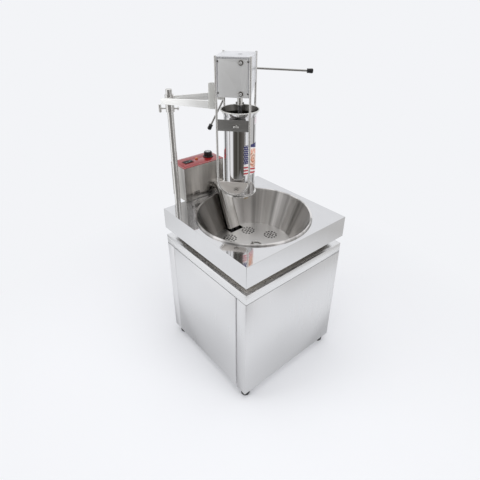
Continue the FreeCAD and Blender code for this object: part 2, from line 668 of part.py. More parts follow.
def make_knob():
    """The thermostat knob with its dial skirt, bored for the spindle."""
    body = new_body("control_knob")
    bore = "spindle_radius + running_gap"
    profile = [
        (bore, "0"), ("knob_skirt_radius", "0"), ("knob_skirt_radius", "knob_skirt_height - knob_bevel"),
        ("knob_radius + knob_taper", "knob_skirt_height"), ("knob_radius", "knob_height - knob_round"),
        ("knob_radius - knob_round", "knob_height"), ("0", "knob_height"),
        ("0", "knob_height - knob_roof"), (bore, "knob_height - knob_roof")]
    revolve(body, [profile])
    grooves = []
    count = int(size("flute_count"))
    for index in range(count):
        angle = 360 * (index + 0.5) / count
        grooves.append(circle(
            f"(knob_radius + flute_out) * cos({angle})", f"(knob_radius + flute_out) * sin({angle})",
            "flute_radius"))
    flutes = draw(body, "XY_Plane", grooves, "knob_height")
    pocket(body, flutes, "knob_height - knob_skirt_height - flute_floor")
    on_cabinet(body, f"{HEAD_MIDDLE} + knob_x", "head_y + knob_y", f"{HEAD_HIGH} + clear_gap")


def make_thermostat():
    """The thermostat under the panel, with the spindle that carries the knob."""
    half = "thermostat_width / 2"
    case = box(f"-{half}", half, f"-{half}", half, "-thermostat_depth", "-panel_thickness")
    spindle = cylinder(
        "spindle_radius", "0", "0", "-panel_thickness",
        "panel_thickness + knob_height - knob_roof - spindle_play")
    on_cabinet(fused("thermostat", [case, spindle]), f"{HEAD_MIDDLE} + knob_x", "head_y + knob_y", HEAD_HIGH)


def make_lamp():
    """The domed indicator lens, snapped into the panel."""
    body = new_body("indicator_lamp")
    neck = "lamp_radius - lamp_shoulder"
    profile = [
        ("0", "-lamp_depth"), (neck, "-lamp_depth"), (neck, "0"), ("lamp_radius", "0"),
        ("lamp_radius", "lamp_height / 3"), (neck, "lamp_height - lamp_crown"),
        ("lamp_radius / 3", "lamp_height"), ("0", "lamp_height")]
    revolve(body, [profile])
    on_cabinet(body, f"{HEAD_MIDDLE} + lamp_x", f"head_y + lamp_y", HEAD_HIGH)


def make_rocker():
    """The power switch: a body with a raised bezel, and the key that tips in it."""
    half_l = "rocker_length / 2"
    half_w = "rocker_width / 2"
    bezel = box(
        f"-{half_w} - bezel_border", f"{half_w} + bezel_border",
        f"-{half_l} - bezel_border", f"{half_l} + bezel_border", "0", "bezel_height")
    case = box(
        f"-{half_w} - switch_wall", f"{half_w} + switch_wall",
        f"-{half_l} - switch_wall", f"{half_l} + switch_wall", "-rocker_depth - switch_floor", "0")
    well = box(f"-{half_w}", half_w, f"-{half_l}", half_l, "-rocker_depth", "bezel_height + overcut")
    bearing = cylinder(
        "trunnion_radius + running_gap", f"-{half_w} - bezel_border", "0", "-trunnion_drop",
        "rocker_width + 2 * bezel_border", Vector(1, 0, 0))
    frame = less("switch_body", fused_parts([bezel, case]), [well, bearing])
    on_cabinet(frame, f"{HEAD_MIDDLE} + rocker_x", "head_y + rocker_y", HEAD_HIGH)
    key = bare_body("rocker_plate")
    end = f"{half_l} - key_gap - key_inset"
    corners = [
        (f"-({end})", "-key_edge"), ("0", "-key_belly"), (end, "-key_edge"),
        (end, "bezel_height + key_raised"), ("0", "bezel_height - key_middle"),
        (f"-({end})", "bezel_height - key_sunk")]
    pad(key, draw(key, "YZ_Plane", [corners]), "rocker_width - 2 * key_gap", middle=True)
    trunnion = cylinder("trunnion_radius", f"-{half_w} - trunnion_reach", "0", "-trunnion_drop",
                        "rocker_width + 2 * trunnion_reach", Vector(1, 0, 0))
    rocker = fused("rocker_key", [key, trunnion])
    on_cabinet(rocker, f"{HEAD_MIDDLE} + rocker_x", "head_y + rocker_y", HEAD_HIGH)


def fused_parts(items):
    item = doc.addObject("Part::MultiFuse", "joined")
    item.Shapes = items
    return item


def make_head_fittings():
    """Inside and under the housing: terminal block, cable gland and the hanger."""
    terminals = box(
        f"{HEAD_LEFT} + terminal_left", f"{HEAD_LEFT} + terminal_left + terminal_width",
        "head_y - terminal_length / 2", "head_y + terminal_length / 2",
        f"{HEAD_LOW} + head_sheet", f"{HEAD_LOW} + head_sheet + terminal_height")
    on_cabinet(group("terminal_block", [terminals]))
    end = "head_y + head_length / 2"
    gland = fused("cable_gland", [
        cylinder("gland_radius", HEAD_MIDDLE, end, f"{HEAD_LOW} + gland_rise", "gland_length",
                 Vector(0, 1, 0)),
        cylinder("gland_radius - gland_step", HEAD_MIDDLE, f"{end} + gland_length",
                 f"{HEAD_LOW} + gland_rise", "gland_length - gland_step", Vector(0, 1, 0))])
    on_cabinet(gland)
    half = "hanger_width / 2"
    drop_left = "-worktop_width / 2 - clear_gap - hanger_sheet"
    drop_right = "-worktop_width / 2 - clear_gap"
    front = f"head_y - {half}"
    back = f"head_y + {half}"
    plate = box(
        f"{HEAD_LEFT} + hanger_inset", f"{HEAD_RIGHT} - hanger_inset", front, back, WORKTOP, HEAD_LOW)
    leg = box(drop_left, drop_right, front, back, f"{WORKTOP} - hanger_drop", WORKTOP)
    on_cabinet(fused("hanger_bracket", [plate, leg]))


def guard_path(lead):
    """The line down the middle of the heater guard: out of the box, over the rim, down the wall."""
    mid_z = size(f"{WORKTOP} + guard_rise")
    start = Vector(size(HEAD_RIGHT) + lead, size("guard_y"), mid_z)
    slope = math.atan2(size("mouth_radius - seat_radius"), size("seat_depth"))
    stand_off = size("guard_depth / 2 + guard_wall_gap")
    across = stand_off / math.cos(slope)
    wall_x = size("bowl_x - mouth_radius + bowl_sheet") + across
    corner = Vector(wall_x - (mid_z - size(WORKTOP)) * math.tan(slope), start.y, mid_z)
    drop = size("guard_low")
    end = Vector(wall_x + drop * math.tan(slope), start.y, size(WORKTOP) - drop)
    radius = size("guard_bend")
    turn = math.pi / 2 - slope
    reach = radius * math.tan(turn / 2)
    down = (end - corner).normalize()
    entry = corner - Vector(reach, 0, 0)
    leave = corner + down * reach
    centre = entry - Vector(0, 0, radius)
    half_turn = turn / 2
    middle = centre + Vector(radius * math.sin(half_turn), 0, radius * math.cos(half_turn))
    return start, entry, middle, leave, end


def guard_section(centre, inset):
    """A rounded box section square to X, smaller by the inset all round."""
    half_y = size("guard_width / 2") - inset
    half_z = size("guard_depth / 2") - inset
    radius = size("guard_round") - inset
    edges = []
    for index, (sy, sz) in enumerate(((1, 1), (-1, 1), (-1, -1), (1, -1))):
        hub = centre + Vector(0, sy * (half_y - radius), sz * (half_z - radius))
        first = math.radians(90 * index)
        points = []
        for step in range(3):
            angle = first + step * math.pi / 4
            points.append(hub + Vector(0, radius * math.cos(angle), radius * math.sin(angle)))
        edges.append(Part.Arc(*points))
    shapes = []
    for index, arc in enumerate(edges):
        following = edges[(index + 1) % 4]
        shapes.append(arc.toShape())
        shapes.append(Part.LineSegment(arc.EndPoint, following.StartPoint).toShape())
    return Part.Wire(shapes)


def make_guard():
    """The sheath round the heater's leads, swept over the rim and down the bowl's wall."""
    start, entry, middle, leave, end = guard_path(size("head_sheet"))
    spine = Part.Wire([
        Part.LineSegment(start, entry).toShape(), Part.Arc(entry, middle, leave).toShape(),
        Part.LineSegment(leave, end).toShape()])
    outer = spine.makePipeShell([guard_section(start, 0)], True, True)
    inner = spine.makePipeShell([guard_section(start, size("guard_sheet"))], True, True)
    sheath = outer.cut(inner)
    flange = Part.makeBox(
        size("head_sheet"), size("guard_width + 2 * guard_flange"), size("guard_depth + 2 * guard_flange"),
        Vector(size(HEAD_RIGHT), size("guard_y - guard_width / 2 - guard_flange"),
               start.z - size("guard_depth / 2 + guard_flange")))
    window = Part.makeBox(
        size("3 * head_sheet"), size("guard_width - 2 * guard_sheet"), size("guard_depth - 2 * guard_sheet"),
        Vector(size(f"{HEAD_RIGHT} - head_sheet"), size("guard_y - guard_width / 2 + guard_sheet"),
               start.z - size("guard_depth / 2 - guard_sheet")))
    on_cabinet(shaped("element_guard", sheath.fuse(flange.cut(window)).removeSplitter()))


def rounded_path(points, radii):
    """A wire of straight runs with a tangent arc at each inner point."""
    edges = []
    at = points[0]
    for before, corner, after, radius in zip(points, points[1:], points[2:], radii):
        into = (corner - before).normalize()
        out = (after - corner).normalize()
        half = into.getAngle(out) / 2
        reach = radius * math.tan(half)
        entry = corner - into * reach
        leave = corner + out * reach
        middle = corner + (out - into).normalize() * (radius / math.cos(half) - radius)
        edges.append(Part.LineSegment(at, entry).toShape())
        edges.append(Part.Arc(entry, middle, leave).toShape())
        at = leave
    edges.append(Part.LineSegment(at, points[-1]).toShape())
    return Part.Wire(edges)


def element_rod(half_size, lead):
    """One heating rod: through the guard, round the bowl's floor and back."""
    start, entry, middle, leave, end = guard_path(-3 * size("element_plate"))
    floor_z = size(f"{BOWL_FLOOR} + bowl_sheet + element_rise")
    down = (end - leave).normalize()
    corner_x = leave.x + (leave.z - start.z) * down.x / -down.z
    knee_x = leave.x + (leave.z - floor_z) * down.x / -down.z
    near_x = size("bowl_x") - size("element_near") * half_size
    far_x = size("bowl_x") + size("element_far") * half_size
    rows = []
    for side in (-1, 1):
        y = start.y + side * lead
        wide_y = size("bowl_y") + side * size("element_far") * half_size
        rows.append([
            Vector(start.x, y, start.z), Vector(corner_x, y, start.z), Vector(knee_x, y, floor_z),
            Vector(near_x, y, floor_z), Vector(near_x, wide_y, floor_z), Vector(far_x, wide_y, floor_z)])
    points = rows[0] + list(reversed(rows[1]))
    bend = size("element_bend")
    radii = [size("guard_bend")] + 8 * [bend] + [size("guard_bend")]
    spine = rounded_path(points, radii)
    ring = Part.Wire(Part.Circle(points[0], Vector(1, 0, 0), size("element_radius")).toShape())
    return spine.makePipeShell([ring], True, True)


def make_element():
    """Two looped heating rods under the strainer, brazed into a plate at the guard's mouth."""
    half_y = size("guard_width / 2 - guard_sheet - clear_gap")
    half_z = size("guard_depth / 2 - guard_sheet - clear_gap")
    middle_z = size(f"{WORKTOP} + guard_rise")
    thickness = size("element_plate")
    plate = Part.makeBox(
        thickness, 2 * half_y, 2 * half_z,
        Vector(size(HEAD_RIGHT) - thickness, size("guard_y") - half_y, middle_z - half_z))
    outer = element_rod(size("element_outer"), size("2 * element_lead"))
    inner = element_rod(size("element_inner"), size("element_lead"))
    on_cabinet(shaped("heating_element", plate.multiFuse([outer, inner])))


# ---------------------------------------------------------------- post and arm
def make_post():
    """The upright tube that carries the arm, and the socket that holds it under the worktop."""
    body = new_body("post")
    profile = [
        ("0", "-socket_depth"), ("post_radius", "-socket_depth"),
        ("post_radius", "post_height - post_bevel"), ("post_radius - post_bevel", "post_height"),
        ("0", "post_height")]
    revolve(body, [profile])
    on_arm(body)
    socket = new_body("post_socket")
    inner = "post_radius + running_gap"
    ring = [
        ("0", "-socket_depth - socket_floor"), ("socket_radius", "-socket_depth - socket_floor"),
        ("socket_radius", "-sheet"),
        (inner, "-sheet"), (inner, "-socket_depth"), ("0", "-socket_depth")]
    revolve(socket, [ring])
    on_arm(socket)


SCREW_Z = "(collar_low + collar_height * screw_share)"


def make_collar():
    """The height collar on the post, tapped for the clamp screw and the lock screw."""
    body = new_body("height_collar")
    inner = "post_radius + running_gap"
    top = "collar_low + collar_height"
    profile = [
        (inner, "collar_low"), ("collar_radius - collar_edge", "collar_low"),
        ("collar_radius", "collar_low + collar_edge"), ("collar_radius", f"{top} - collar_edge"),
        ("collar_radius - collar_edge", top), (inner, top)]
    revolve(body, [profile])
    tapped = draw(body, "YZ_Plane", [circle("0", SCREW_Z, "thumb_screw_radius + running_gap")])
    pocket(body, tapped)
    on_arm(body, turn=size("collar_turn"))


def make_collar_screws():
    """The T-handled clamp screw on the outer side, and the lock screw opposite."""
    tip = "post_radius + clear_gap"
    screw = "thumb_screw_radius"
    turn = size("collar_turn")
    stem = cylinder(screw, f"-({tip})", "0", SCREW_Z, f"clamp_reach - ({tip})", Vector(-1, 0, 0))
    bar = cylinder(
        f"{screw} + clamp_bar_over", "-clamp_reach", "0", f"{SCREW_Z} - clamp_bar / 2", "clamp_bar")
    on_arm(fused("clamp_screw", [stem, bar]), turn=turn)
    shank = cylinder(screw, tip, "0", SCREW_Z, f"lock_reach - ({tip})", Vector(1, 0, 0))
    head = cylinder(f"{screw} + lock_head_over", "lock_reach", "0", SCREW_Z, f"2 * {screw}", Vector(1, 0, 0))
    on_arm(fused("lock_screw", [shank, head]), turn=turn)


ARM_LOW = "(collar_low + collar_height + clear_gap)"
LEG_X = "(leg_spacing / 2)"
PLANE_Y = "(barrel_radius + rod_radius + frame_gap)"
BRACKET_RIGHT = "(leg_spacing / 2 + rod_radius + clear_gap)"
BRACKET_LEFT = f"({BRACKET_RIGHT} + bracket_width)"


def make_arm_hub():
    """The sleeve of the arm, which turns on the post and rests on the collar."""
    body = new_body("arm_hub")
    inner = "post_radius + running_gap"
    top = f"{ARM_LOW} + arm_hub_height"
    revolve(body, [[(inner, ARM_LOW), ("arm_hub_radius", ARM_LOW), ("arm_hub_radius", top), (inner, top)]])
    on_arm(body)


def make_arm_bar(label, side):
    """A flat bar on edge from beside the hub to a bracket, taller at the extruder's end."""
    end_x = size(f"arm_reach - {BRACKET_LEFT}")
    end_y = size(f"arm_side + {side} * {PLANE_Y}")
    beside = size("arm_hub_radius + bar_thickness / 2 + clear_gap")
    distance = math.hypot(end_x, end_y)
    angle = math.atan2(end_y, end_x) - side * math.asin(beside / distance)
    length = math.sqrt(distance ** 2 - beside ** 2)
    length -= size("clear_gap") + size("bar_thickness / 2") * abs(math.tan(angle))
    overrun = "bar_overrun" if side < 0 else "arm_hub_radius"
    body = bare_body(label)
    low = f"{ARM_LOW} + bar_lift"
    reach = f"{length:.4f}"
    corners = [
        (f"-{overrun}", low), (reach, f"{low} + bar_rise"), (reach, f"{low} + bar_rise + bar_height_head"),
        (f"-{overrun}", f"{low} + bar_height_post")]
    pad(body, draw(body, "XZ_Plane", [corners], f"{-side} * {beside:.4f}"), "bar_thickness", middle=True)
    on_arm(body, turn=math.degrees(angle))
    return body


def make_arm_bars():
    """The two flat bars of the arm, which spread from the hub to the extruder's planes."""
    group("arm_bars", [make_arm_bar("front_arm_bar", -1), make_arm_bar("rear_arm_bar", 1)])


def make_brackets():
    """Two upright plates that join the bars to the legs, rounded at their outer top corner."""
    brackets = []
    for label, side in (("front_bracket", -1), ("rear_bracket", 1)):
        body = bare_body(label)
        face = rectangle(
            f"-{BRACKET_LEFT}", f"-{BRACKET_RIGHT}", "bracket_low", "bracket_low + bracket_height")
        pad(body, draw(body, "XZ_Plane", [face]), "bracket_thickness", middle=True)
        high = size("bracket_low + bracket_height")
        left = -size(BRACKET_LEFT)

        def outer_corner(edge):
            box_of = edge.BoundBox
            return (abs(box_of.ZMin - high) < 1e-4 and abs(box_of.ZMax - high) < 1e-4
                    and abs(box_of.XMin - left) < 1e-4 and abs(box_of.XMax - left) < 1e-4)

        round_edges(body, "bracket_width / 3", outer_corner)
        in_frame(body, "0", f"{side} * {PLANE_Y}")
        brackets.append(body)
    group("arm_brackets", brackets)


# ---------------------------------------------------------------- extruder frame and gear case
def make_frame_rod(label, side):
    """A round rod bent to a U: two legs and a half-circle under the barrel."""
    radius = size(LEG_X)
    low = size("bend_low")
    top = size("case_high + rod_proud")
    left_top = Vector(-radius, 0, top)
    left_low = Vector(-radius, 0, low + radius)
    right_low = Vector(radius, 0, low + radius)
    right_top = Vector(radius, 0, top)
    spine = Part.Wire([
        Part.LineSegment(left_top, left_low).toShape(),
        Part.Arc(left_low, Vector(0, 0, low), right_low).toShape(),
        Part.LineSegment(right_low, right_top).toShape()])
    ring = Part.Wire(Part.Circle(left_top, Vector(0, 0, -1), size("rod_radius")).toShape())
    rod = spine.makePipeShell([ring], True, True)
    in_frame(shaped(label, rod), "0", f"{side} * {PLANE_Y}")


def thumb_hole(height):
    return [circle("barrel_offset", height, "thumb_screw_radius + running_gap")]


def make_straps():
    """Straps across the legs; the front one is tapped for the upper thumb screw."""
    straps = []
    half = f"({LEG_X} - rod_radius - clear_gap)"
    for label, side in (("front_strap", -1), ("rear_strap", 1)):
        body = bare_body(label)
        face = rectangle(
            f"-{half}", half, "strap_middle - strap_height / 2", "strap_middle + strap_height / 2")
        pad(body, draw(body, "XZ_Plane", [face]), "plate_thickness", middle=True)
        if side < 0:
            pocket(body, draw(body, "XZ_Plane", thumb_hole("strap_middle")))
        in_frame(body, "0", f"{side} * {PLANE_Y}")
        straps.append(body)
    group("strap_plates", straps)


def make_half_moons():
    """Half-moon plates that fill the bends; the front one is tapped for the lower thumb screw."""
    moons = []
    half = f"({LEG_X} - rod_radius - clear_gap)"
    centre = f"(bend_low + {LEG_X})"
    for label, side in (("front_half_moon", -1), ("rear_half_moon", 1)):
        body = bare_body(label)
        pad(body, draw(body, "XZ_Plane", [circle("0", centre, half)]), "plate_thickness", middle=True)
        above = rectangle(
            f"-{half} - overcut", f"{half} + overcut", "moon_top", f"{centre} + {half} + overcut")
        pocket(body, draw(body, "XZ_Plane", [above]))
        if side < 0:
            pocket(body, draw(body, "XZ_Plane", thumb_hole("thumb_low")))
        in_frame(body, "0", f"{side} * {PLANE_Y}")
        moons.append(body)
    group("half_moon_plates", moons)


def make_thumb_screw(label, height):
    """A winged screw through a plate, with its tip against the barrel."""
    tip = "barrel_radius + clear_gap"
    front = f"{PLANE_Y} + plate_thickness / 2 + thumb_stand"
    stem = cylinder("thumb_screw_radius", "0", f"-({tip})", "0", f"{front} - ({tip})", Vector(0, -1, 0))
    boss = cylinder("thumb_screw_radius + thumb_boss_over", "0", f"-({front} - thumb_boss_set)", "0",
                    "thumb_wing_height", Vector(0, -1, 0))
    wings = box("-thumb_wing", "thumb_wing", f"-({front} + thumb_wing_height)", f"-({front})",
                "-thumb_wing_sheet / 2", "thumb_wing_sheet / 2")
    item = fused(label, [stem, boss, wings])
    in_frame(item, "barrel_offset", "0", height)


CASE_HALF = f"({LEG_X} + case_over)"
INNER_HALF = "(leg_spacing / 2 - rod_radius - clear_gap)"
CASE_Y = f"({PLANE_Y} + case_proud)"
CRANK_PLANE = f"({CASE_Y} + crank_out)"
LINTEL = "(case_high - case_sheet - case_lintel)"


def make_gear_case():
    """The gear housing between the legs: sloping sides, a top, a back and a flanged front."""
    body = new_body("gear_case")
    side = [
        (f"-{CASE_Y}", "case_low"), (CASE_Y, "case_low + case_back_rise"),
        (CASE_Y, "case_high"), (f"-{CASE_Y}", "case_high")]
    pad(body, draw(body, "YZ_Plane", [side]), f"2 * {CASE_HALF}", middle=True)
    inner_half = f"{CASE_HALF} - case_sheet"
    hollow = rectangle(
        f"-{CASE_Y} + case_sheet", f"{CASE_Y} - case_sheet",
        "case_low - case_sheet", "case_high - case_sheet")
    hollow_sketch = draw(body, "YZ_Plane", [hollow], inner_half)
    pocket(body, hollow_sketch, f"2 * ({inner_half})")
    window = rectangle(
        f"-{CASE_HALF} + case_flange", f"{CASE_HALF} - case_flange", "case_low - overcut", LINTEL)
    front_cut = draw(body, "XZ_Plane", [window], f"{CASE_Y} + overcut")
    pocket(body, front_cut, "case_sheet + 2 * overcut")
    rack_hole = circle("barrel_offset", "0", "rack_radius + clear_gap")
    pocket(body, draw(body, "XY_Plane", [rack_hole], "case_high + overcut"), "case_sheet + 2 * overcut")
    shaft_hole = circle(SHAFT_OFFSET, "crank_rise", "shaft_radius + 2 * bush_wall")
    pocket(body, draw(body, "XZ_Plane", [shaft_hole], f"-{CASE_Y} + 2 * case_sheet"), "3 * case_sheet")
    legs = [
        circle(f"{side} * {LEG_X}", f"{end} * {PLANE_Y}", "rod_radius + running_gap")
        for side in (-1, 1) for end in (-1, 1)]
    pocket(body, draw(body, "XY_Plane", legs))
    in_frame(body)


def plate_outline():
    half = f"({CASE_HALF} - case_flange - front_plate_gap)"
    return rectangle(f"-{half}", half, "case_low", f"{LINTEL} - front_plate_gap")


GUIDE_X = "(barrel_offset + rack_radius + guide_pin_radius + running_gap)"
BUSH_RADIUS = "(shaft_radius + bush_wall)"


def make_front_plate():
    """The cover and bearing plate let into the front of the gear case."""
    body = new_body("gear_front_plate")
    pad(body, draw(body, "XZ_Plane", [plate_outline()], CASE_Y), "front_plate_thickness", backwards=True)
    seat = circle(SHAFT_OFFSET, "crank_rise", f"{BUSH_RADIUS} + running_gap")
    inside = draw(body, "XZ_Plane", [seat], f"{CASE_Y} - front_plate_thickness")
    pocket(body, inside, "front_plate_thickness - bush_floor", backwards=True)
    holes = [
        circle(GUIDE_X, height, "guide_pin_radius + running_gap")
        for height in ("guide_pin_top", "guide_pin_low")]
    pocket(body, draw(body, "XZ_Plane", holes))
    in_frame(body)


def make_back_plate():
    """The bearing plate inside the back of the gear case."""
    body = new_body("gear_back_plate")
    face = rectangle(
        f"-{INNER_HALF}", INNER_HALF, "case_low + case_back_rise", "case_high - case_sheet - clear_gap")
    pad(body, draw(body, "XZ_Plane", [face], f"-{CASE_Y} + case_sheet + clear_gap"), "front_plate_thickness")
    seat = circle(SHAFT_OFFSET, "crank_rise", f"{BUSH_RADIUS} + running_gap")
    pocket(body, draw(body, "XZ_Plane", [seat]))
    in_frame(body)


def make_bushes():
    """Plain bronze bushes for the crank shaft, one in each bearing plate."""
    rings = []
    front_y = f"-{CASE_Y} + bush_set"
    back_y = f"{CASE_Y} - case_sheet - clear_gap - front_plate_thickness"
    back_length = "front_plate_thickness + case_sheet + bush_proud"
    for start, length in ((front_y, "bush_length"), (back_y, back_length)):
        ring = doc.addObject("Part::Cut", "bush")
        along = Vector(0, 1, 0)
        ring.Base = cylinder(BUSH_RADIUS, SHAFT_OFFSET, start, "crank_rise", length, along)
        ring.Tool = cylinder(
            "shaft_radius + running_gap", SHAFT_OFFSET, f"{start} - overcut", "crank_rise",
            f"{length} + 2 * overcut", along)
        rings.append(ring)
    in_frame(group("shaft_bushes", rings))


def make_guide_bolts():
    """Two big bolts through the front plate, whose thick shanks back the rack."""
    bolts = []
    for height in ("guide_pin_top", "guide_pin_low"):
        head = cylinder(
            "guide_pin_head", GUIDE_X, f"-{CASE_Y}", height, "guide_head_height", Vector(0, -1, 0))
        shank = cylinder(
            "guide_pin_radius", GUIDE_X, f"-{CASE_Y}", height, f"{CASE_Y} + guide_pin_reach",
            Vector(0, 1, 0))
        bolts.append(fused_parts([head, shank]))
    in_frame(group("guide_bolts", bolts))


def make_cover_screws():
    """Four pan-head screws over the joint between the front plate and its flange."""
    half = f"({CASE_HALF} - case_flange - front_plate_gap / 2)"
    screws = []
    for x in (f"-{half}", half):
        for z in ("case_low + cover_screw_low", "case_high - cover_screw_high"):
            screws.append(cylinder(
                "cover_screw_radius", x, f"-{CASE_Y}", z, "cover_screw_height", Vector(0, -1, 0)))
    in_frame(group("cover_screws", screws))


def make_rack_guide():
    """The sleeve that steers the rack below the gear case, hung on a shelf off the front plate."""
    front = f"-{CASE_Y} + front_plate_thickness + clear_gap"
    plate = box(
        "barrel_offset - 3 * guide_radius", "barrel_offset + 3 * guide_radius",
        front, "2 * guide_radius", "case_low", "case_low + guide_plate")
    tube = cylinder("guide_radius", "barrel_offset", "0", "guide_low", "case_low - guide_low")
    nuts = [
        cylinder("guide_nut_radius", f"barrel_offset + {side} * (guide_radius - guide_nut_inset)", "0",
                 "guide_low + guide_nut_rise", "guide_nut_length", Vector(side, 0, 0))
        for side in (-1, 1)]
    hole = cylinder(
        "rack_radius + running_gap", "barrel_offset", "0", "guide_low - guide_plate",
        "case_low - guide_low + 3 * guide_plate")
    in_frame(less("rack_guide", fused_parts([plate, tube] + nuts), [hole]))


# ---------------------------------------------------------------- barrel, die and drive
RIM_RADIUS = "(barrel_radius + barrel_lip)"
DIE_RADIUS = "(barrel_radius + die_lip)"


def make_barrel():
    """The polished dough barrel with a rolled rim and an outlet in its floor."""
    body = new_body("barrel")
    inner = "barrel_radius - barrel_wall"
    profile = [
        ("outlet_radius", "barrel_low"), ("barrel_radius", "barrel_low"),
        ("barrel_radius", "barrel_high - rim_slope * barrel_rim_height"),
        (f"{RIM_RADIUS} - 2 * rim_round", "barrel_high - barrel_rim_height"),
        (RIM_RADIUS, "barrel_high - barrel_rim_height + rim_round"),
        (RIM_RADIUS, "barrel_high - rim_round"), (f"{RIM_RADIUS} - rim_round", "barrel_high"),
        (f"{RIM_RADIUS} - 3 * rim_round", "barrel_high"),
        (inner, "barrel_high - rim_inner_drop * barrel_rim_height"),
        (inner, "barrel_low + 2 * barrel_wall"), ("outlet_radius", "barrel_low + 2 * barrel_wall")]
    revolve(body, [profile])
    in_frame(body, "barrel_offset")


def make_die():
    """The die plate under the barrel with its star-holed nozzle, and the nuts that hold it."""
    body = new_body("die_plate")
    ridge = "outlet_radius - clear_gap"
    profile = [
        ("0", "-die_thickness - nozzle_length"),
        ("nozzle_radius - nozzle_taper", "-die_thickness - nozzle_length"),
        ("nozzle_radius", "-die_thickness"), (DIE_RADIUS, "-die_thickness"), (DIE_RADIUS, "0"),
        (ridge, "0"), (ridge, "barrel_wall"), ("nozzle_radius", "barrel_wall"),
        ("nozzle_radius - nozzle_wall", "-die_thickness"), ("0", "-die_thickness")]
    revolve(body, [profile])
    star = []
    corners = 2 * int(size("star_points"))
    for index in range(corners):
        reach = "star_tip" if index % 2 == 0 else "star_root"
        turn = 360 * index / corners
        star.append((f"{reach} * cos({turn})", f"{reach} * sin({turn})"))
    pocket(body, draw(body, "XY_Plane", [star]))
    in_frame(body, "barrel_offset", z="barrel_low")
    nuts = []
    for angle in (-55, 65, 185):
        x = f"({DIE_RADIUS} - die_stud_inset) * cos({angle})"
        y = f"({DIE_RADIUS} - die_stud_inset) * sin({angle})"
        low = "barrel_low - die_thickness"
        boss = cylinder(
            "die_stud_radius + nut_boss_over", x, y, f"{low} - nut_boss_height", "nut_boss_height")
        wing = doc.addObject("Part::Box", "wing")
        bind(wing, "Length", "2 * thumb_wing")
        bind(wing, "Width", "thumb_wing_sheet")
        bind(wing, "Height", "nut_wing_height")
        turn = Rotation(Vector(0, 0, 1), angle + 90)
        corner = turn.multVec(Vector(-size("thumb_wing"), -size("thumb_wing_sheet") / 2, 0))
        wing.Placement = Placement(Vector(size(x), size(y), size(f"{low} - nut_drop")) + corner, turn)
        nuts.append(fused_parts([boss, wing]))
    in_frame(group("die_wing_nuts", nuts), "barrel_offset")


def rack_tooth_gap():
    """Half-width of a tooth space at the rod's surface and at its root, with the play added."""
    module = size("tooth_module")
    quarter = math.pi * module / 4
    flank = math.tan(math.radians(20))
    play = size("tooth_play") / 2
    return quarter + module * flank + play, quarter - 1.25 * module * flank + play


def make_rack():
    """The round rack: a rod with straight-sided teeth cut across one side."""
    body = new_body("rack")
    low = size("barrel_low + 2 * barrel_wall + piston_rise + piston_thickness")
    high = size("case_high")
    pad(body, draw(body, "XY_Plane", [circle("0", "0", "rack_radius")]), f"{high - low:.4f}")
    module = size("tooth_module")
    pitch = math.pi * module
    wide, narrow = rack_tooth_gap()
    middle = size("crank_rise") - low
    surface = -size("rack_radius")
    root = surface + 2.25 * module
    first = middle + 6.5 * pitch
    gap = [
        (f"{surface - 1:.4f}", f"{first - wide - math.tan(math.radians(20)):.4f}"),
        (f"{root:.4f}", f"{first - narrow:.4f}"),
        (f"{root:.4f}", f"{first + narrow:.4f}"),
        (f"{surface - 1:.4f}", f"{first + wide + math.tan(math.radians(20)):.4f}")]
    sketch = draw(body, "XZ_Plane", [gap])
    cut = pocket(body, sketch)
    pattern = body.newObject("PartDesign::LinearPattern", "rack_teeth")
    pattern.Originals = [cut]
    axis = [line for line in body.Origin.OriginFeatures if line.Role == "Z_Axis"][0]
    pattern.Direction = (axis, [""])
    pattern.Reversed = True
    bind(pattern, "Occurrences", "rack_tooth_count")
    pattern.Length = pitch * (size("rack_tooth_count") - 1)
    body.Tip = pattern
    in_frame(body, "barrel_offset", z=f"{low:.4f}")


def involute_tooth_gap():
    """The outline of one space between pinion teeth, from below the root to past the tip."""
    module = size("tooth_module")
    teeth = int(size("pinion_teeth"))
    pressure = math.radians(20)
    pitch_radius = module * teeth / 2
    base = pitch_radius * math.cos(pressure)
    tip = pitch_radius + module
    root = pitch_radius - 1.25 * module
    play = size("tooth_play") / 2
    roll_at_pitch = math.tan(pressure) - pressure
    half_space = math.pi / (2 * teeth) + play / pitch_radius
    flank = []
    steps = 5
    start = max(base, root)
    for index in range(steps + 1):
        radius = start + (tip - start) * index / steps
        lean = math.acos(min(1.0, base / radius))
        roll = math.tan(lean) - lean
        flank.append((radius, half_space - roll_at_pitch + roll))
    outline = [(root, flank[0][1])] + flank + [(tip + 1, flank[-1][1])]
    right = [(r * math.cos(-a), r * math.sin(-a)) for r, a in outline]
    left = [(r * math.cos(a), r * math.sin(a)) for r, a in reversed(outline)]
    return right + left


def make_crank_shaft():
    """The shaft with the pinion cut on it; a tooth space faces the rack's middle tooth."""
    body = new_body("crank_shaft")
    tip = "pinion_teeth * tooth_module / 2 + tooth_module"
    wheel = draw(body, "XZ_Plane", [circle("0", "0", tip)])
    pad(body, wheel, "pinion_width", middle=True)
    space = [(f"{x:.5f}", f"{z:.5f}") for x, z in involute_tooth_gap()]
    cut = pocket(body, draw(body, "XZ_Plane", [space]))
    pattern = body.newObject("PartDesign::PolarPattern", "pinion_teeth_round")
    pattern.Originals = [cut]
    axis = [line for line in body.Origin.OriginFeatures if line.Role == "Y_Axis"][0]
    pattern.Axis = (axis, [""])
    pattern.Angle = 360
    bind(pattern, "Occurrences", "pinion_teeth")
    body.Tip = pattern
    front = f"{CASE_Y} - shaft_set"
    rod = draw(body, "XZ_Plane", [circle("0", "0", "shaft_radius")], front)
    pad(body, rod, f"{front} + {CRANK_PLANE} + crank_hub_length / 2 - crank_hub_floor", backwards=True)
    in_frame(body, SHAFT_OFFSET, z="crank_rise")


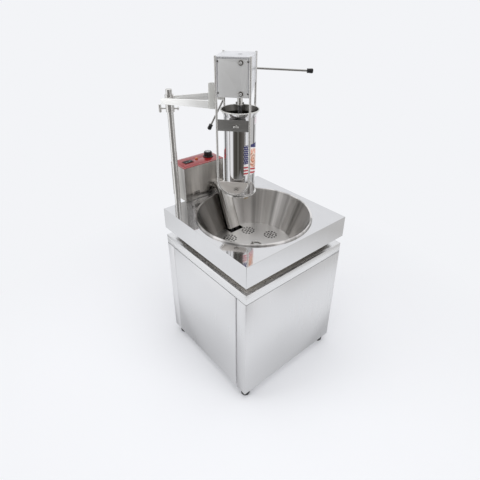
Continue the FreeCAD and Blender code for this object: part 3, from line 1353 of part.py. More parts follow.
def make_crank():
    """The crank behind the gear case: a hub with two welded arms, and a grip on each."""
    hub = bare_body("crank_hub")
    back = f"{CRANK_PLANE} + crank_hub_length / 2"
    pad(hub, draw(hub, "XZ_Plane", [circle("0", "0", "crank_hub_radius")], f"-({back})"), "crank_hub_length")
    bore = circle("0", "0", "shaft_radius + running_gap")
    bore_face = draw(hub, "XZ_Plane", [bore], f"-({back}) + crank_hub_length + overcut")
    pocket(hub, bore_face, "crank_hub_length - crank_hub_bore")
    end = size(back)

    def outer_rim(edge):
        return abs(edge.BoundBox.YMin - end) < 1e-4

    round_edges(hub, "crank_hub_bevel", outer_rim, "PartDesign::Chamfer")
    arms = [hub]
    grips = []
    reach = "crank_length - shaft_radius - bush_wall - crank_end"
    for angle in (size("crank_angle"), size("crank_angle - crank_spread")):
        direction = Vector(math.cos(math.radians(angle)), 0, math.sin(math.radians(angle)))
        root = direction * size("shaft_radius + bush_wall")
        arms.append(cylinder(
            "crank_rod_radius", f"{root.x:.5f}", CRANK_PLANE, f"{root.z:.5f}", reach, direction))
        outer = direction * size("crank_length - grip_length")
        grip = doc.addObject("Part::Cut", "grip")
        grip.Base = cylinder(
            "grip_radius", f"{outer.x:.5f}", CRANK_PLANE, f"{outer.z:.5f}", "grip_length", direction)
        grip.Tool = cylinder(
            "crank_rod_radius + running_gap", f"{root.x:.5f}", CRANK_PLANE, f"{root.z:.5f}",
            f"{reach} + running_gap", direction)
        grips.append(grip)
    in_frame(fused("crank_arms", arms), SHAFT_OFFSET, z="crank_rise")
    in_frame(group("crank_grips", grips), SHAFT_OFFSET, z="crank_rise")


def make_piston():
    """The piston on the rack's foot, and the seal ring in its groove."""
    low = size("barrel_low + 2 * barrel_wall + piston_rise")
    body = new_body("piston")
    radius = "barrel_radius - barrel_wall - piston_gap"
    mid = "piston_thickness / 2"
    groove_low = f"{mid} - seal_width / 2"
    groove_high = f"{mid} + seal_width / 2"
    profile = [
        ("0", "0"), (f"{radius} - piston_edge", "0"), (radius, "piston_edge"), (radius, groove_low),
        (f"{radius} - seal_depth", groove_low), (f"{radius} - seal_depth", groove_high),
        (radius, groove_high), (radius, "piston_thickness - piston_edge"),
        (f"{radius} - piston_edge", "piston_thickness"), ("0", "piston_thickness")]
    revolve(body, [profile])
    in_frame(body, "barrel_offset", z=f"{low:.4f}")
    seal = new_body("piston_seal")
    inner = f"{radius} - seal_depth + seal_play"
    outer = "barrel_radius - barrel_wall - seal_gap"
    seal_low = f"{groove_low} + seal_play"
    seal_high = f"{groove_high} - seal_play"
    ring = [
        (inner, seal_low), (f"{outer} - seal_lip", seal_low), (outer, mid),
        (f"{outer} - seal_lip", seal_high), (inner, seal_high)]
    revolve(seal, [ring])
    in_frame(seal, "barrel_offset", z=f"{low:.4f}")


# ---------------------------------------------------------------- build, check and write
make_base_pan()
make_side_panel("left_side_panel", -1)
make_side_panel("right_side_panel", 1)
make_back_panel()
make_stiles()
make_cabinet_top()
make_door()
make_door_pins()
make_catch()
make_feet()
make_plinth()
make_worktop()
make_bowl()
make_strainer()
make_lift_ring()
make_control_box()
make_control_panel()
make_knob()
make_thermostat()
make_lamp()
make_rocker()
make_head_fittings()
make_guard()
make_element()
make_post()
make_collar()
make_collar_screws()
make_arm_hub()
make_arm_bars()
make_brackets()
make_frame_rod("front_frame_rod", -1)
make_frame_rod("rear_frame_rod", 1)
make_straps()
make_half_moons()
make_thumb_screw("upper_thumb_screw", "strap_middle")
make_thumb_screw("lower_thumb_screw", "thumb_low")
make_gear_case()
make_front_plate()
make_back_plate()
make_bushes()
make_guide_bolts()
make_cover_screws()
make_rack_guide()
make_barrel()
make_die()
make_rack()
make_crank_shaft()
make_crank()
make_piston()
doc.recompute()

for item in doc.Objects:
    if "Invalid" in item.State or "Error" in item.State:
        raise RuntimeError(f"{item.Label} failed: {item.State}")
    if item.TypeId == "PartDesign::Pocket" and item.BaseFeature is not None:
        if item.Shape.Volume > item.BaseFeature.Shape.Volume - 1e-3:
            raise RuntimeError(f"{item.Label} cuts nothing")
os.makedirs("parts", exist_ok=True)
for item in SUBPARTS:
    if item.Shape.isNull() or not item.Shape.isValid():
        raise RuntimeError(f"{item.Label} has no valid shape")
    item.Shape.exportStep(f"parts/{item.Label}.step")
print(len(SUBPARTS), "sub-parts written")
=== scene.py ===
# %% [markdown]
# # A churro station in stainless steel
# Almost every surface here is stainless steel, so the lesson is how one metal gets many looks: a satin
# cabinet, a mirror worktop, a spun bowl and a polished barrel. The construction comes from the CAD frame.
# This script gives it finishes, and models the forms that the finishes depend on, such as rolled rims,
# softened sheet edges, grips and screw heads.

# %% Load the frame
import json
import math

import bmesh
import bpy
from mathutils import Matrix, Vector

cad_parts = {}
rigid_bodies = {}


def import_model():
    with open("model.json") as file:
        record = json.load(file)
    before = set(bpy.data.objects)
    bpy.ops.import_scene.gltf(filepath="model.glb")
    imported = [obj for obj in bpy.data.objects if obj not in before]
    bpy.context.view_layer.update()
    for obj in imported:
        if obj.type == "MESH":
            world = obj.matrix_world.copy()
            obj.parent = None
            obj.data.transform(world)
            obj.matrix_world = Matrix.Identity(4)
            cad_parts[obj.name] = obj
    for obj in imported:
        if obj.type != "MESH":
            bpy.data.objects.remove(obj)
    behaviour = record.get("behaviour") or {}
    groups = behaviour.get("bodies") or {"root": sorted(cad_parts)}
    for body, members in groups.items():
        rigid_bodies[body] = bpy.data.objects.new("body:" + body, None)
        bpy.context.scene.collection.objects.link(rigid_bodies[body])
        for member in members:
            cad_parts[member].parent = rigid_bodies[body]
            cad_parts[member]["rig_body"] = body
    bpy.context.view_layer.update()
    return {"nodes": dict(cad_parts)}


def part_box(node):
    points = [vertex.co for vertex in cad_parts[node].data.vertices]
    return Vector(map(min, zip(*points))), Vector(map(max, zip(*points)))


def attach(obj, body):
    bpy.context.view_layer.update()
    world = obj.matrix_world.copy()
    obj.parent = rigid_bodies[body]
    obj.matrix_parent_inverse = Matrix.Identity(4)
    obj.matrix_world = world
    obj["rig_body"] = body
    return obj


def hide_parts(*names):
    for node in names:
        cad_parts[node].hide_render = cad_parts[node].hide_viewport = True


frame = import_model()
nodes = frame["nodes"]


def middle(node):
    """The middle of a CAD node's box."""
    low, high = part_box(node)
    return (low + high) / 2


# %% [markdown]
# ## The camera
# The camera looks down on a front corner from close by, through a fairly wide lens, which is why the cabinet
# tapers towards the floor. The shift slides the view without turning the camera.

# %% Camera
CAMERA_PLACE = Vector((1.3378, -1.1685, 1.8202))
CAMERA_YAW = 49.847
CAMERA_PITCH = 29.390
CAMERA_ROLL = 0.2025
LENS = 29.551
SHIFT_DOWN = -0.05625

camera_data = bpy.data.cameras.new("camera")
camera_data.lens = LENS
camera_data.shift_y = SHIFT_DOWN
camera = bpy.data.objects.new("camera", camera_data)
bpy.context.scene.collection.objects.link(camera)
camera.matrix_world = (
    Matrix.Translation(CAMERA_PLACE)
    @ Matrix.Rotation(math.radians(CAMERA_YAW), 4, "Z")
    @ Matrix.Rotation(math.radians(90 - CAMERA_PITCH), 4, "X")
    @ Matrix.Rotation(math.radians(CAMERA_ROLL), 4, "Z"))
bpy.context.scene.camera = camera
bpy.context.scene.view_settings.view_transform = "Standard"
print("camera", round(CAMERA_PLACE.length, 2), "m from the origin")

# %% [markdown]
# ## Shader arithmetic
# A pattern is easier to read as a formula than as a web of nodes. `Value` wraps a socket, so that
# `1 - mask * 0.5` adds the Math nodes by itself.

# %% Value
class Value:
    """A number that varies over a surface, ready for Python arithmetic."""

    def __init__(self, nodes_of, socket):
        self.nodes_of = nodes_of
        self.socket = socket

    def _with(self, operation, first, second=0.0):
        made = self.nodes_of.node("ShaderNodeMath", {"operation": operation}, {0: first, 1: second})
        return Value(self.nodes_of, made.outputs[0])

    def __add__(self, other):
        return self._with("ADD", self, other)

    def __sub__(self, other):
        return self._with("SUBTRACT", self, other)

    def __rsub__(self, other):
        return self._with("SUBTRACT", other, self)

    def __mul__(self, other):
        return self._with("MULTIPLY", self, other)

    __radd__ = __add__
    __rmul__ = __mul__

    def __truediv__(self, other):
        return self._with("DIVIDE", self, other)

    def __mod__(self, other):
        return self._with("FLOORED_MODULO", self, other)

    def __gt__(self, other):
        return self._with("GREATER_THAN", self, other)

    def __lt__(self, other):
        return self._with("LESS_THAN", self, other)

    def root(self):
        return self._with("SQRT", self)

    def size(self):
        return self._with("ABSOLUTE", self)

    def clipped(self):
        made = self.nodes_of.node("ShaderNodeClamp", {}, {"Value": self})
        return Value(self.nodes_of, made.outputs[0])

    def between(self, low, high):
        return (self > low) * (self < high)

    def ramped(self, low, high):
        """0 below low, 1 above high, and a slope between."""
        return ((self - low) / (high - low)).clipped()

    def swing(self, amount):
        """A noise from 0 to 1, made a change of up to half the amount either way."""
        return (self - 0.5) * amount


def distance(first, second):
    """How far a point is from the middle, out of its two coordinates."""
    return (first * first + second * second).root()


# %% [markdown]
# `Nodes` writes into any node tree: its `node` method takes the settings first, then what goes into the
# sockets. Colours are mixed by a node of their own, because a Math node would turn them grey.

# %% Nodes
class Nodes:
    """Writes shader nodes into one tree."""

    def __init__(self, tree):
        self.tree = tree

    def join(self, value, socket):
        """Links a value or a socket, or sets a constant."""
        if isinstance(value, Value):
            value = value.socket
        if isinstance(value, bpy.types.NodeSocket):
            self.tree.links.new(value, socket)
        else:
            socket.default_value = value

    def node(self, kind, settings=None, inputs=None):
        made = self.tree.nodes.new(kind)
        for name, value in (settings or {}).items():
            if name == "stops":
                self._set_stops(made.color_ramp, value)
            else:
                setattr(made, name, value)
        for name, value in (inputs or {}).items():
            self.join(value, made.inputs[name])
        return made

    @staticmethod
    def _set_stops(ramp, stops):
        while len(ramp.elements) < len(stops):
            ramp.elements.new(1.0)
        for element, (position, color) in zip(ramp.elements, stops):
            element.position = position
            element.color = (*color, 1.0)

    def parts(self, vector):
        """The three coordinates of a vector."""
        made = self.node("ShaderNodeSeparateXYZ", {}, {0: vector})
        return [Value(self, made.outputs[axis]) for axis in range(3)]

    def mix(self, factor, first, second):
        """A colour between two colours."""
        made = self.node("ShaderNodeMix", {"data_type": "RGBA"}, {0: factor, 6: first, 7: second})
        return made.outputs[2]

    def blend(self, factor, first, second):
        """A shader between two shaders."""
        made = self.node("ShaderNodeMixShader", {}, {0: factor, 1: first, 2: second})
        return made.outputs[0]


# %% [markdown]
# `Finish` writes into a material that has a Principled shader, and adds the patterns that most finishes need.
# They read Object coordinates, which are metres from the origin, because every piece keeps its object there.

# %% Finish
class Finish(Nodes):
    """One procedural material around a Principled shader."""

    def __init__(self, title, color, roughness, metallic=1.0, **constants):
        self.material = bpy.data.materials.new(title)
        self.material.use_nodes = True
        super().__init__(self.material.node_tree)
        self.shader = self.tree.nodes["Principled BSDF"]
        self.set("Base Color", (*color, 1.0))
        self.set("Roughness", roughness)
        self.set("Metallic", metallic)
        for constant, value in constants.items():
            self.set(constant.replace("_", " ").title(), value)
        self.place = self.node("ShaderNodeTexCoord").outputs["Object"]

    def set(self, title, value):
        self.join(value, self.shader.inputs[title])

    def moved(self, scale, turn=0.0):
        """Object coordinates, squeezed, and turned about Z, for a pattern."""
        made = self.node("ShaderNodeMapping", {"vector_type": "TEXTURE"}, {
            "Vector": self.place, "Rotation": (0, 0, turn), "Scale": tuple(1 / part for part in scale)})
        return made.outputs[0]

    def noise(self, scale, detail=2.0, vector=None, rough=0.5):
        made = self.node("ShaderNodeTexNoise", {}, {
            "Vector": vector or self.place, "Scale": scale, "Detail": detail, "Roughness": rough})
        return Value(self, made.outputs["Fac"])

    def bump(self, height, distance):
        made = self.node("ShaderNodeBump", {}, {"Height": height, "Distance": distance, "Strength": 1.0})
        self.set("Normal", made.outputs[0])


# %% [markdown]
# ## Steel finishes
# Brushed and satin steel get their look from thousands of parallel scratches: the highlight spreads across
# them. A noise squeezed along one axis makes the scratches. The grain says how fine the noise is along each
# axis, so the scratches run along the axis where it is smallest.

# %% Brushed steel
MICRON = 0.000001


def tint(color, amount):
    """A colour made lighter or darker, for the ends of a mix."""
    return tuple(min(1.0, part * amount) for part in color[:3]) + (1.0,)


def satin(title, color, roughness, grain, depth=20 * MICRON, turn=0.0, reflection_bands=None, **constants):
    """Brushed sheet, with faint handling marks.

    The reflection_bands stretch a noise along one axis into broad dark stripes: painted reflections in the
    colour.
    """
    finish = Finish(title, color, roughness, **constants)
    scratches = finish.noise(1.0, 3.0, finish.moved(grain, turn))
    marks = finish.noise(5.0, 3.0)
    sheet = finish.mix(marks, tint(color, 0.93), tint(color, 1.05))
    if reflection_bands:
        # painted reflection: broad dark stripes mixed into the sheet's colour
        painted_reflection_streaks = finish.noise(1.0, 2.0, finish.moved(reflection_bands)).ramped(0.36, 0.64)
        sheet = finish.mix(painted_reflection_streaks, finish.mix(0.5, sheet, (0, 0, 0, 1)), sheet)
    finish.set("Base Color", sheet)
    finish.set("Roughness", roughness + scratches.swing(0.14) + marks.swing(0.1))
    finish.bump(scratches, depth)
    return finish.material


# %% [markdown]
# Each steel on the machine has a name for its place, a colour, a roughness, its grain and the depth of its
# scratches. A lower metallic value gives the paler, more even look of ground or blasted steel.

# %% Brushed finishes
ALONG_BAR = (12, 12, 400)
ALONG_STRAP = (12, 12, 500)
EVEN_GRAIN = (200, 200, 200)

rail_steel = satin("satin_rail", (0.88, 0.88, 0.885), 0.27, (6, 6, 400), 6 * MICRON)
bore_steel = satin("bore_steel", (0.17, 0.165, 0.155), 0.3, (6, 6, 300), 6 * MICRON)
plate_steel = satin("ground_plate", (0.84, 0.84, 0.81), 0.36, ALONG_BAR, 5 * MICRON, metallic=0.6)
arm_steel = satin("arm_steel", (0.96, 0.96, 0.94), 0.36, ALONG_BAR, 5 * MICRON, metallic=0.5)
gear_steel = satin("gear_plate", (0.765, 0.765, 0.76), 0.42, (260, 260, 12), 6 * MICRON, metallic=0.55)
box_steel = satin("head_sheet", (0.76, 0.735, 0.70), 0.22, (300, 300, 5), 8 * MICRON, reflection_bands=(14, 22, 2))
guard_steel = satin("guard_sheet", (0.86, 0.84, 0.81), 0.2, (5, 300, 5), 8 * MICRON, reflection_bands=(1, 48, 1))
case_steel = satin("case_sheet", (0.76, 0.765, 0.79), 0.3, (400, 400, 8), 8 * MICRON, metallic=0.65)
strap_steel = satin("strap_steel", (0.27, 0.265, 0.255), 0.38, ALONG_STRAP, 6 * MICRON, metallic=0.7)
moon_steel = satin("moon_steel", (0.74, 0.70, 0.66), 0.3, ALONG_STRAP, 6 * MICRON, metallic=0.6)
dark_plate = satin("dark_plate", (0.10, 0.10, 0.105), 0.38, (30, 30, 700))
inner_steel = satin("inner_steel", (0.30, 0.30, 0.31), 0.5, (60, 60, 60))
# painted shade: near black, for the lips round punched holes
hole_shade_steel = satin("hole_shade_steel", (0.026, 0.023, 0.020), 0.5, EVEN_GRAIN)
strainer_steel = satin("strainer_steel", (0.74, 0.73, 0.715), 0.34, (8, 300, 300), 8 * MICRON, turn=0.4)
print(len(bpy.data.materials), "brushed finishes")

# %% [markdown]
# Polished steel keeps sharp reflections, but sheet metal is never quite flat, so a very broad and shallow
# bump bends them a little, as on the real sheet. Fingerprints are a finer noise in the roughness.

# %% Polished steel
def polished(title, color, roughness, warp, smudge=0.05, broad_scale=3.0, **constants):
    """Bright sheet or bar: clear reflections with a slow warp, and fingerprints in the roughness."""
    finish = Finish(title, color, roughness, **constants)
    broad = finish.noise(broad_scale, 1.0)
    prints = finish.noise(14.0, 4.0, rough=0.6)
    finish.set("Base Color", finish.mix(prints, tint(color, 0.96), tint(color, 1.03)))
    finish.set("Roughness", roughness + (prints - 0.45).clipped() * smudge * 3)
    finish.bump(broad, warp)
    return finish.material


mirror_steel = polished("mirror_sheet", (0.80, 0.80, 0.81), 0.06, 0.0015)
bar_steel = polished("bright_bar", (0.80, 0.79, 0.77), 0.17, 0.0003, metallic=0.85)
dull_bar = polished("dull_bar", (0.50, 0.49, 0.47), 0.24, 0.0003)
barrel_steel = polished("barrel_steel", (0.78, 0.78, 0.79), 0.05, 0.0002, 0.02, 9.0)
print(len(bpy.data.materials), "finishes with the polished ones")

# %% [markdown]
# The cabinet's panels meet its top in a flush seam. A thin dark line just under the top's lower edge is
# painted shade in that seam. Along the two edges of the gap beside the door the sheet is made hardly
# metallic,
# so its pale colour shows: painted light in the gap, which lies in shade.

# %% Cabinet finish
SEAM_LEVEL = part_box("cabinet_top")[0].z
SEAM_BELOW = 0.0022
SEAM_ABOVE = 0.0004
DOOR_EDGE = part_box("door_skin")[1].x
BRIGHTENED_GAP_WIDTH = 0.012
EDGE_REACH = 0.0006

cabinet = Finish("satin_sheet", (0.82, 0.82, 0.83), 0.3)
cabinet_x, _, cabinet_z = cabinet.parts(cabinet.place)
hairlines = cabinet.noise(1.0, 3.0, cabinet.moved((240, 240, 5)))
handling = cabinet.noise(4.0, 3.0)
# painted shade: a thin dark line along the seam just under the top
seam_shade_line = cabinet_z.between(SEAM_LEVEL - SEAM_BELOW, SEAM_LEVEL + SEAM_ABOVE)
# painted light: the edges of the gap beside the door lose their metal look, so they show pale in the shaded
# gap
gap_painted_light = cabinet_x.between(DOOR_EDGE - EDGE_REACH, DOOR_EDGE + BRIGHTENED_GAP_WIDTH + EDGE_REACH)
sheet_color = cabinet.mix(handling, (0.79, 0.79, 0.80, 1), (0.85, 0.85, 0.86, 1))
cabinet.set("Base Color", cabinet.mix(seam_shade_line * 0.8, sheet_color, (0.05, 0.045, 0.04, 1)))
cabinet.set("Roughness", 0.3 + hairlines.swing(0.1) + handling.swing(0.1) + seam_shade_line * 0.3)
cabinet.set("Metallic", 1 - gap_painted_light * 0.9)
cabinet.bump(hairlines, 5 * MICRON)
cabinet_steel = cabinet.material
print("seam at", round(SEAM_LEVEL, 4), "m, brightened gap from", round(DOOR_EDGE, 4), "m")

# %% [markdown]
# The recess under the worktop is painted dark, as painted shade under the worktop, least of all at the
# front right corner. The edge of its ledge has a painted highlight.

# %% Channel finish
LEDGE_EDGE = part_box("recess_plinth")[1]
LEDGE_HIGHLIGHT_WIDTH = 0.0008

channel = Finish("channel_steel", (0.40, 0.38, 0.34), 0.4, metallic=0.3)
channel_x, channel_y, _ = channel.parts(channel.place)
ledge_highlight_x = channel_x.size() > LEDGE_EDGE.x - LEDGE_HIGHLIGHT_WIDTH
ledge_highlight_y = channel_y.size() > LEDGE_EDGE.y - LEDGE_HIGHLIGHT_WIDTH
# painted shade: the recess is darker away from the front right corner
recess_shade_ramp = (channel_x - channel_y).ramped(-0.05, 0.65)
channel_color = channel.mix(recess_shade_ramp, (0.13, 0.12, 0.10, 1), (0.76, 0.72, 0.66, 1))
# painted highlight: a pale band along the edge of the ledge
channel_color = channel.mix((ledge_highlight_x + ledge_highlight_y).clipped() * 0.8, channel_color, (0.80, 0.76, 0.70, 1))
channel.set("Base Color", channel_color)
channel.set("Roughness", 0.4 + channel.noise(9.0, 3.0).swing(0.2))
channel.bump(channel.noise(1.0, 3.0, channel.moved((8, 8, 120))), 2 * MICRON)
channel_steel = channel.material
print("the ledge reaches", round(LEDGE_EDGE.x, 4), "m from the middle")

# %% [markdown]
# The bowl is turned on a lathe, so its marks run round it. Light then spreads up and down the wall, which
# gives the upright streaks of a spun bowl. A noise read at the point of the compass darkens some upright
# lines
# of the wall: painted reflection stripes in its colour. The wall on the heater's side is darkened as a
# painted reflection of the dark heater box, and the steel under the strainer is painted dark as shade.

# %% Bowl finish
STRAINER_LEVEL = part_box("strainer_disc")[0].z - 0.001
HEATER_WAY = math.radians(205)
STREAK_SLICE = 1.1
bowl_middle = middle("oil_bowl")

bowl = Finish("bowl_steel", (0.60, 0.58, 0.56), 0.32, anisotropic=0.92, anisotropic_rotation=0.25)
bowl_x, bowl_y, bowl_z = bowl.parts(bowl.place)
ring_marks = bowl.noise(1.0, 3.0, bowl.moved((3, 3, 500)))
stains = bowl.noise(6.0, 3.0)
under_strainer_shade = bowl_z < STRAINER_LEVEL
steel_color = bowl.mix(stains, (0.88, 0.86, 0.84, 1), (0.97, 0.95, 0.93, 1))
out_x = bowl_x - bowl_middle.x
out_y = bowl_y - bowl_middle.y
reach = distance(out_x, out_y) + 0.001
east = out_x / reach
north = out_y / reach
compass_point = bowl.node("ShaderNodeCombineXYZ", {}, {0: east, 1: north, 2: STREAK_SLICE})
# painted reflection: dark upright stripes in the wall's colour
painted_reflection_streaks = bowl.noise(3.2, 3.0, compass_point.outputs[0]).ramped(0.43, 0.57)
steel_color = bowl.mix(painted_reflection_streaks, bowl.mix(0.5, steel_color, (0.02, 0.015, 0.01, 1)), steel_color)
# painted reflection: the wall on the heater's side is darkened, as the dark box it mirrors
heater_side_reflection = (east * math.cos(HEATER_WAY) + north * math.sin(HEATER_WAY)).ramped(0.2, 0.95)
steel_color = bowl.mix(heater_side_reflection * 0.4, steel_color, (0.06, 0.045, 0.03, 1))
# painted shade: the steel below the strainer is nearly black
bowl.set("Base Color", bowl.mix(under_strainer_shade, steel_color, (0.03, 0.027, 0.024, 1)))
bowl.set("Roughness", 0.32 + ring_marks.swing(0.1) + stains.swing(0.1) + under_strainer_shade * 0.25)
bowl.bump(ring_marks, 5 * MICRON)
bowl_steel = bowl.material
print("the wall is dark below", round(STRAINER_LEVEL, 4), "m")

# %% [markdown]
# ## Plastics, rubber and bronze
# The small parts carry the colour. Moulded plastic has a fine spark-eroded grain, and rubber is rougher and
# greyer. Wear is a broader noise that varies both the colour and the roughness.

# %% Moulded finishes
def moulded(title, color, roughness, grain=900.0, **constants):
    """Moulded plastic or rubber with a fine even grain."""
    finish = Finish(title, color, roughness, metallic=0.0, **constants)
    texture = finish.noise(grain, 2.0)
    wear = finish.noise(40.0, 3.0)
    finish.set("Base Color", finish.mix(wear, tint(color, 0.8), tint(color, 1.35)))
    finish.set("Roughness", roughness + wear.swing(0.16))
    finish.bump(texture, 20 * MICRON)
    return finish.material


black_plastic = moulded("black_plastic", (0.010, 0.010, 0.011), 0.42)
rubber = moulded("foot_rubber", (0.022, 0.022, 0.023), 0.62, 500.0)
white_plastic = moulded("white_plastic", (0.74, 0.74, 0.72), 0.32)
cap_plastic = moulded("cap_plastic", (0.30, 0.30, 0.31), 0.26, 300.0)
amber = moulded("amber_lens", (0.52, 0.15, 0.03), 0.15, coat_weight=0.5)
bronze = satin("bronze", (0.66, 0.54, 0.36), 0.34, EVEN_GRAIN, metallic=0.8)
rubber_seal = moulded("seal", (0.75, 0.74, 0.70), 0.5)
print_ink = moulded("mark_ink", (0.80, 0.80, 0.78), 0.45)
print(len(bpy.data.materials), "finishes with the moulded ones and the bronze")

# %% [markdown]
# The panel is sprayed red with a little orange peel, and has a fine printed line all round. The line is what
# lies inside one rounded step from the edge but not inside the next.

# %% Panel finish
LINE_INSET = 0.0050
LINE_WIDTH = 0.0012
panel_low, panel_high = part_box("control_panel")
panel_middle = middle("control_panel")

panel = Finish("red_panel", (0.28, 0.012, 0.014), 0.24, metallic=0.0, coat_weight=0.3)
panel_x, panel_y, _ = panel.parts(panel.place)
inset_x = (panel_high.x - panel_low.x) / 2 - (panel_x - panel_middle.x).size()
inset_y = (panel_high.y - panel_low.y) / 2 - (panel_y - panel_middle.y).size()
inside = (inset_x > LINE_INSET) * (inset_y > LINE_INSET)
deeper = (inset_x > LINE_INSET + LINE_WIDTH) * (inset_y > LINE_INSET + LINE_WIDTH)
dust = panel.noise(45.0, 3.0)
paint = panel.mix(dust, (0.23, 0.008, 0.010, 1), (0.33, 0.018, 0.020, 1))
panel.set("Base Color", panel.mix((inside - deeper).clipped() * 0.8, paint, (0.72, 0.60, 0.58, 1)))
panel.set("Roughness", 0.24 + dust.swing(0.16))
panel.bump(panel.noise(300.0), 10 * MICRON)
red_paint = panel.material
print("panel", [round(side, 3) for side in panel_high - panel_low])

# %% [markdown]
# ## Which CAD piece gets which finish
# Every CAD node keeps its own mesh and takes a finish from this list. Some are stood in for further down
# by a model with softer or rounder forms, which takes the same finish.

# %% Assign
FINISHES = [
    ("cabinet_steel", cabinet_steel, [
        "left_side_panel", "right_side_panel", "back_panel", "front_stiles", "door_skin", "door_liner",
        "base_pan"]),
    ("cabinet_steel", rail_steel, ["cabinet_top"]),
    ("mirror_steel", mirror_steel, ["worktop"]),
    ("dark_steel", inner_steel, [
        "post_socket", "crank_shaft", "gear_back_plate", "rack", "terminal_block", "thermostat",
        "magnet_catch", "door_pins"]),
    ("dark_steel", channel_steel, ["recess_plinth"]),
    ("dark_steel", dark_plate, ["heating_element"]),
    ("dark_steel", strap_steel, ["strap_plates"]),
    ("polished_steel", bar_steel, [
        "post", "front_frame_rod", "rear_frame_rod", "height_collar", "arm_hub", "clamp_screw", "lock_screw",
        "upper_thumb_screw", "rack_guide", "die_plate"]),
    ("polished_steel", dull_bar, [
        "crank_arms", "guide_bolts", "cover_screws", "lower_thumb_screw", "lift_ring", "lift_clip"]),
    ("polished_steel", guard_steel, ["element_guard"]),
    ("polished_steel", arm_steel, ["arm_bars"]),
    ("polished_steel", plate_steel, ["arm_brackets", "hanger_bracket"]),
    ("polished_steel", moon_steel, ["half_moon_plates"]),
    ("polished_steel", case_steel, ["gear_case"]),
    ("polished_steel", gear_steel, ["gear_front_plate"]),
    ("polished_steel", barrel_steel, ["barrel"]),
    ("bowl_steel", bowl_steel, ["oil_bowl"]),
    ("bowl_steel", strainer_steel, ["strainer_disc"]),
    ("bowl_steel", box_steel, ["control_box"]),
    ("red_panel", red_paint, ["control_panel"]),
    ("black_plastic", black_plastic, [
        "control_knob", "rocker_key", "switch_body", "crank_grips", "cable_gland"]),
    ("amber_lens", amber, ["indicator_lamp"]),
    ("rubber_black", rubber, ["feet"]),
    ("bronze", bronze, ["shaft_bushes", "die_wing_nuts"]),
    ("white_plastic", white_plastic, ["piston"]),
    ("seal_rubber", rubber_seal, ["piston_seal"]),
]
finish_of = {name: material for _, material, names in FINISHES for name in names}
for name, material in finish_of.items():
    nodes[name].data.materials.clear()
    nodes[name].data.materials.append(material)
print("without a finish:", sorted(set(nodes) - set(finish_of)))

# %% [markdown]
# ## Modelling helpers
# A round part is an outline spun about an upright axis. The outline is a list of (radius, height) pairs, and
# `arc` gives the pairs of its rounded stretches. `plan_point` steps out from a centre, for parts in a circle.

# %% Turned forms
def plan_point(centre, radius, angle):
    """The point at a radius and an angle from a centre, on its level."""
    return Vector(centre) + Vector((math.cos(angle), math.sin(angle), 0)) * radius


def arc(radius_middle, height_middle, reach, rise, start, end, count=8):
    """Points along a part of an ellipse, with the angles in degrees."""
    angles = [math.radians(start + (end - start) * step / count) for step in range(count + 1)]
    return [(radius_middle + reach * math.cos(a), height_middle + rise * math.sin(a)) for a in angles]


def spun(shape, outline, place=(0, 0, 0), steps=96):
    """Turns an outline of (radius, height) pairs about an upright axis through place."""
    points = [
        shape.verts.new((place[0] + radius, place[1], place[2] + height)) for radius, height in outline]
    edges = [shape.edges.new(pair) for pair in zip(points, points[1:])]
    bmesh.ops.spin(
        shape, geom=points + edges, cent=place, axis=(0, 0, 1), angle=2 * math.pi, steps=steps,
        use_merge=True)


# %% [markdown]
# A bar is a cone with two equal ends, and a block is a cube stretched to size. `soften` bevels every edge
# that is sharper than a limit, since a small round on an edge is what catches the light.

# %% Bars, blocks and soft edges
def bar(shape, start, end, radius, end_radius=None, sides=32):
    """A round bar from one point to another, which tapers if its end has a radius of its own."""
    along = Vector(end) - Vector(start)
    turned = along.to_track_quat("Z", "Y").to_matrix().to_4x4()
    bmesh.ops.create_cone(
        shape, cap_ends=True, cap_tris=False, segments=sides, radius1=radius,
        radius2=radius if end_radius is None else end_radius, depth=along.length,
        matrix=Matrix.Translation((Vector(start) + Vector(end)) / 2) @ turned)


def block(shape, size, place, turn=0.0):
    """A rectangular block, turned about Z."""
    matrix = Matrix.Translation(place) @ Matrix.Rotation(turn, 4, "Z") @ Matrix.Diagonal((*size, 1))
    bmesh.ops.create_cube(shape, size=1.0, matrix=matrix)


def soften(shape, width, segments=2, limit=25):
    """Bevels the edges that are sharper than the limit in degrees."""
    bmesh.ops.remove_doubles(shape, verts=shape.verts, dist=1e-6)
    bmesh.ops.recalc_face_normals(shape, faces=shape.faces)
    sharp = [edge for edge in shape.edges
             if len(edge.link_faces) == 2 and edge.calc_face_angle() > math.radians(limit)]
    bmesh.ops.bevel(
        shape, geom=sharp, offset=width, offset_type="OFFSET", affect="EDGES", segments=segments,
        profile=0.5, material=-1, clamp_overlap=True)


# %% [markdown]
# A finished shape is moved to its place in the mesh itself, so that its object stays at the origin and
# patterns on Object coordinates keep still. Then it rides on its body like the CAD pieces.

# %% Finished pieces
def merge(shape, part, matrix):
    """Adds a part to a shape, placed by a matrix."""
    bmesh.ops.transform(part, matrix=matrix, verts=part.verts)
    mesh = bpy.data.meshes.new("part")
    part.to_mesh(mesh)
    part.free()
    shape.from_mesh(mesh)
    bpy.data.meshes.remove(mesh)


def finish_piece(title, shape, body, material, stands_for=(), matrix=None, sharp=40):
    """Makes one named piece out of a finished shape and lets it ride on its body."""
    if matrix is not None:
        bmesh.ops.transform(shape, matrix=matrix, verts=shape.verts)
    bmesh.ops.remove_doubles(shape, verts=shape.verts, dist=1e-6)
    bmesh.ops.recalc_face_normals(shape, faces=shape.faces)
    for face in shape.faces:
        face.smooth = True
    mesh = bpy.data.meshes.new(title)
    shape.to_mesh(mesh)
    shape.free()
    mesh.set_sharp_from_angle(angle=math.radians(sharp))
    mesh.materials.append(material)
    piece = bpy.data.objects.new(title, mesh)
    bpy.context.scene.collection.objects.link(piece)
    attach(piece, body)
    if stands_for:
        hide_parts(*stands_for)
    print(title, len(mesh.polygons), "faces")


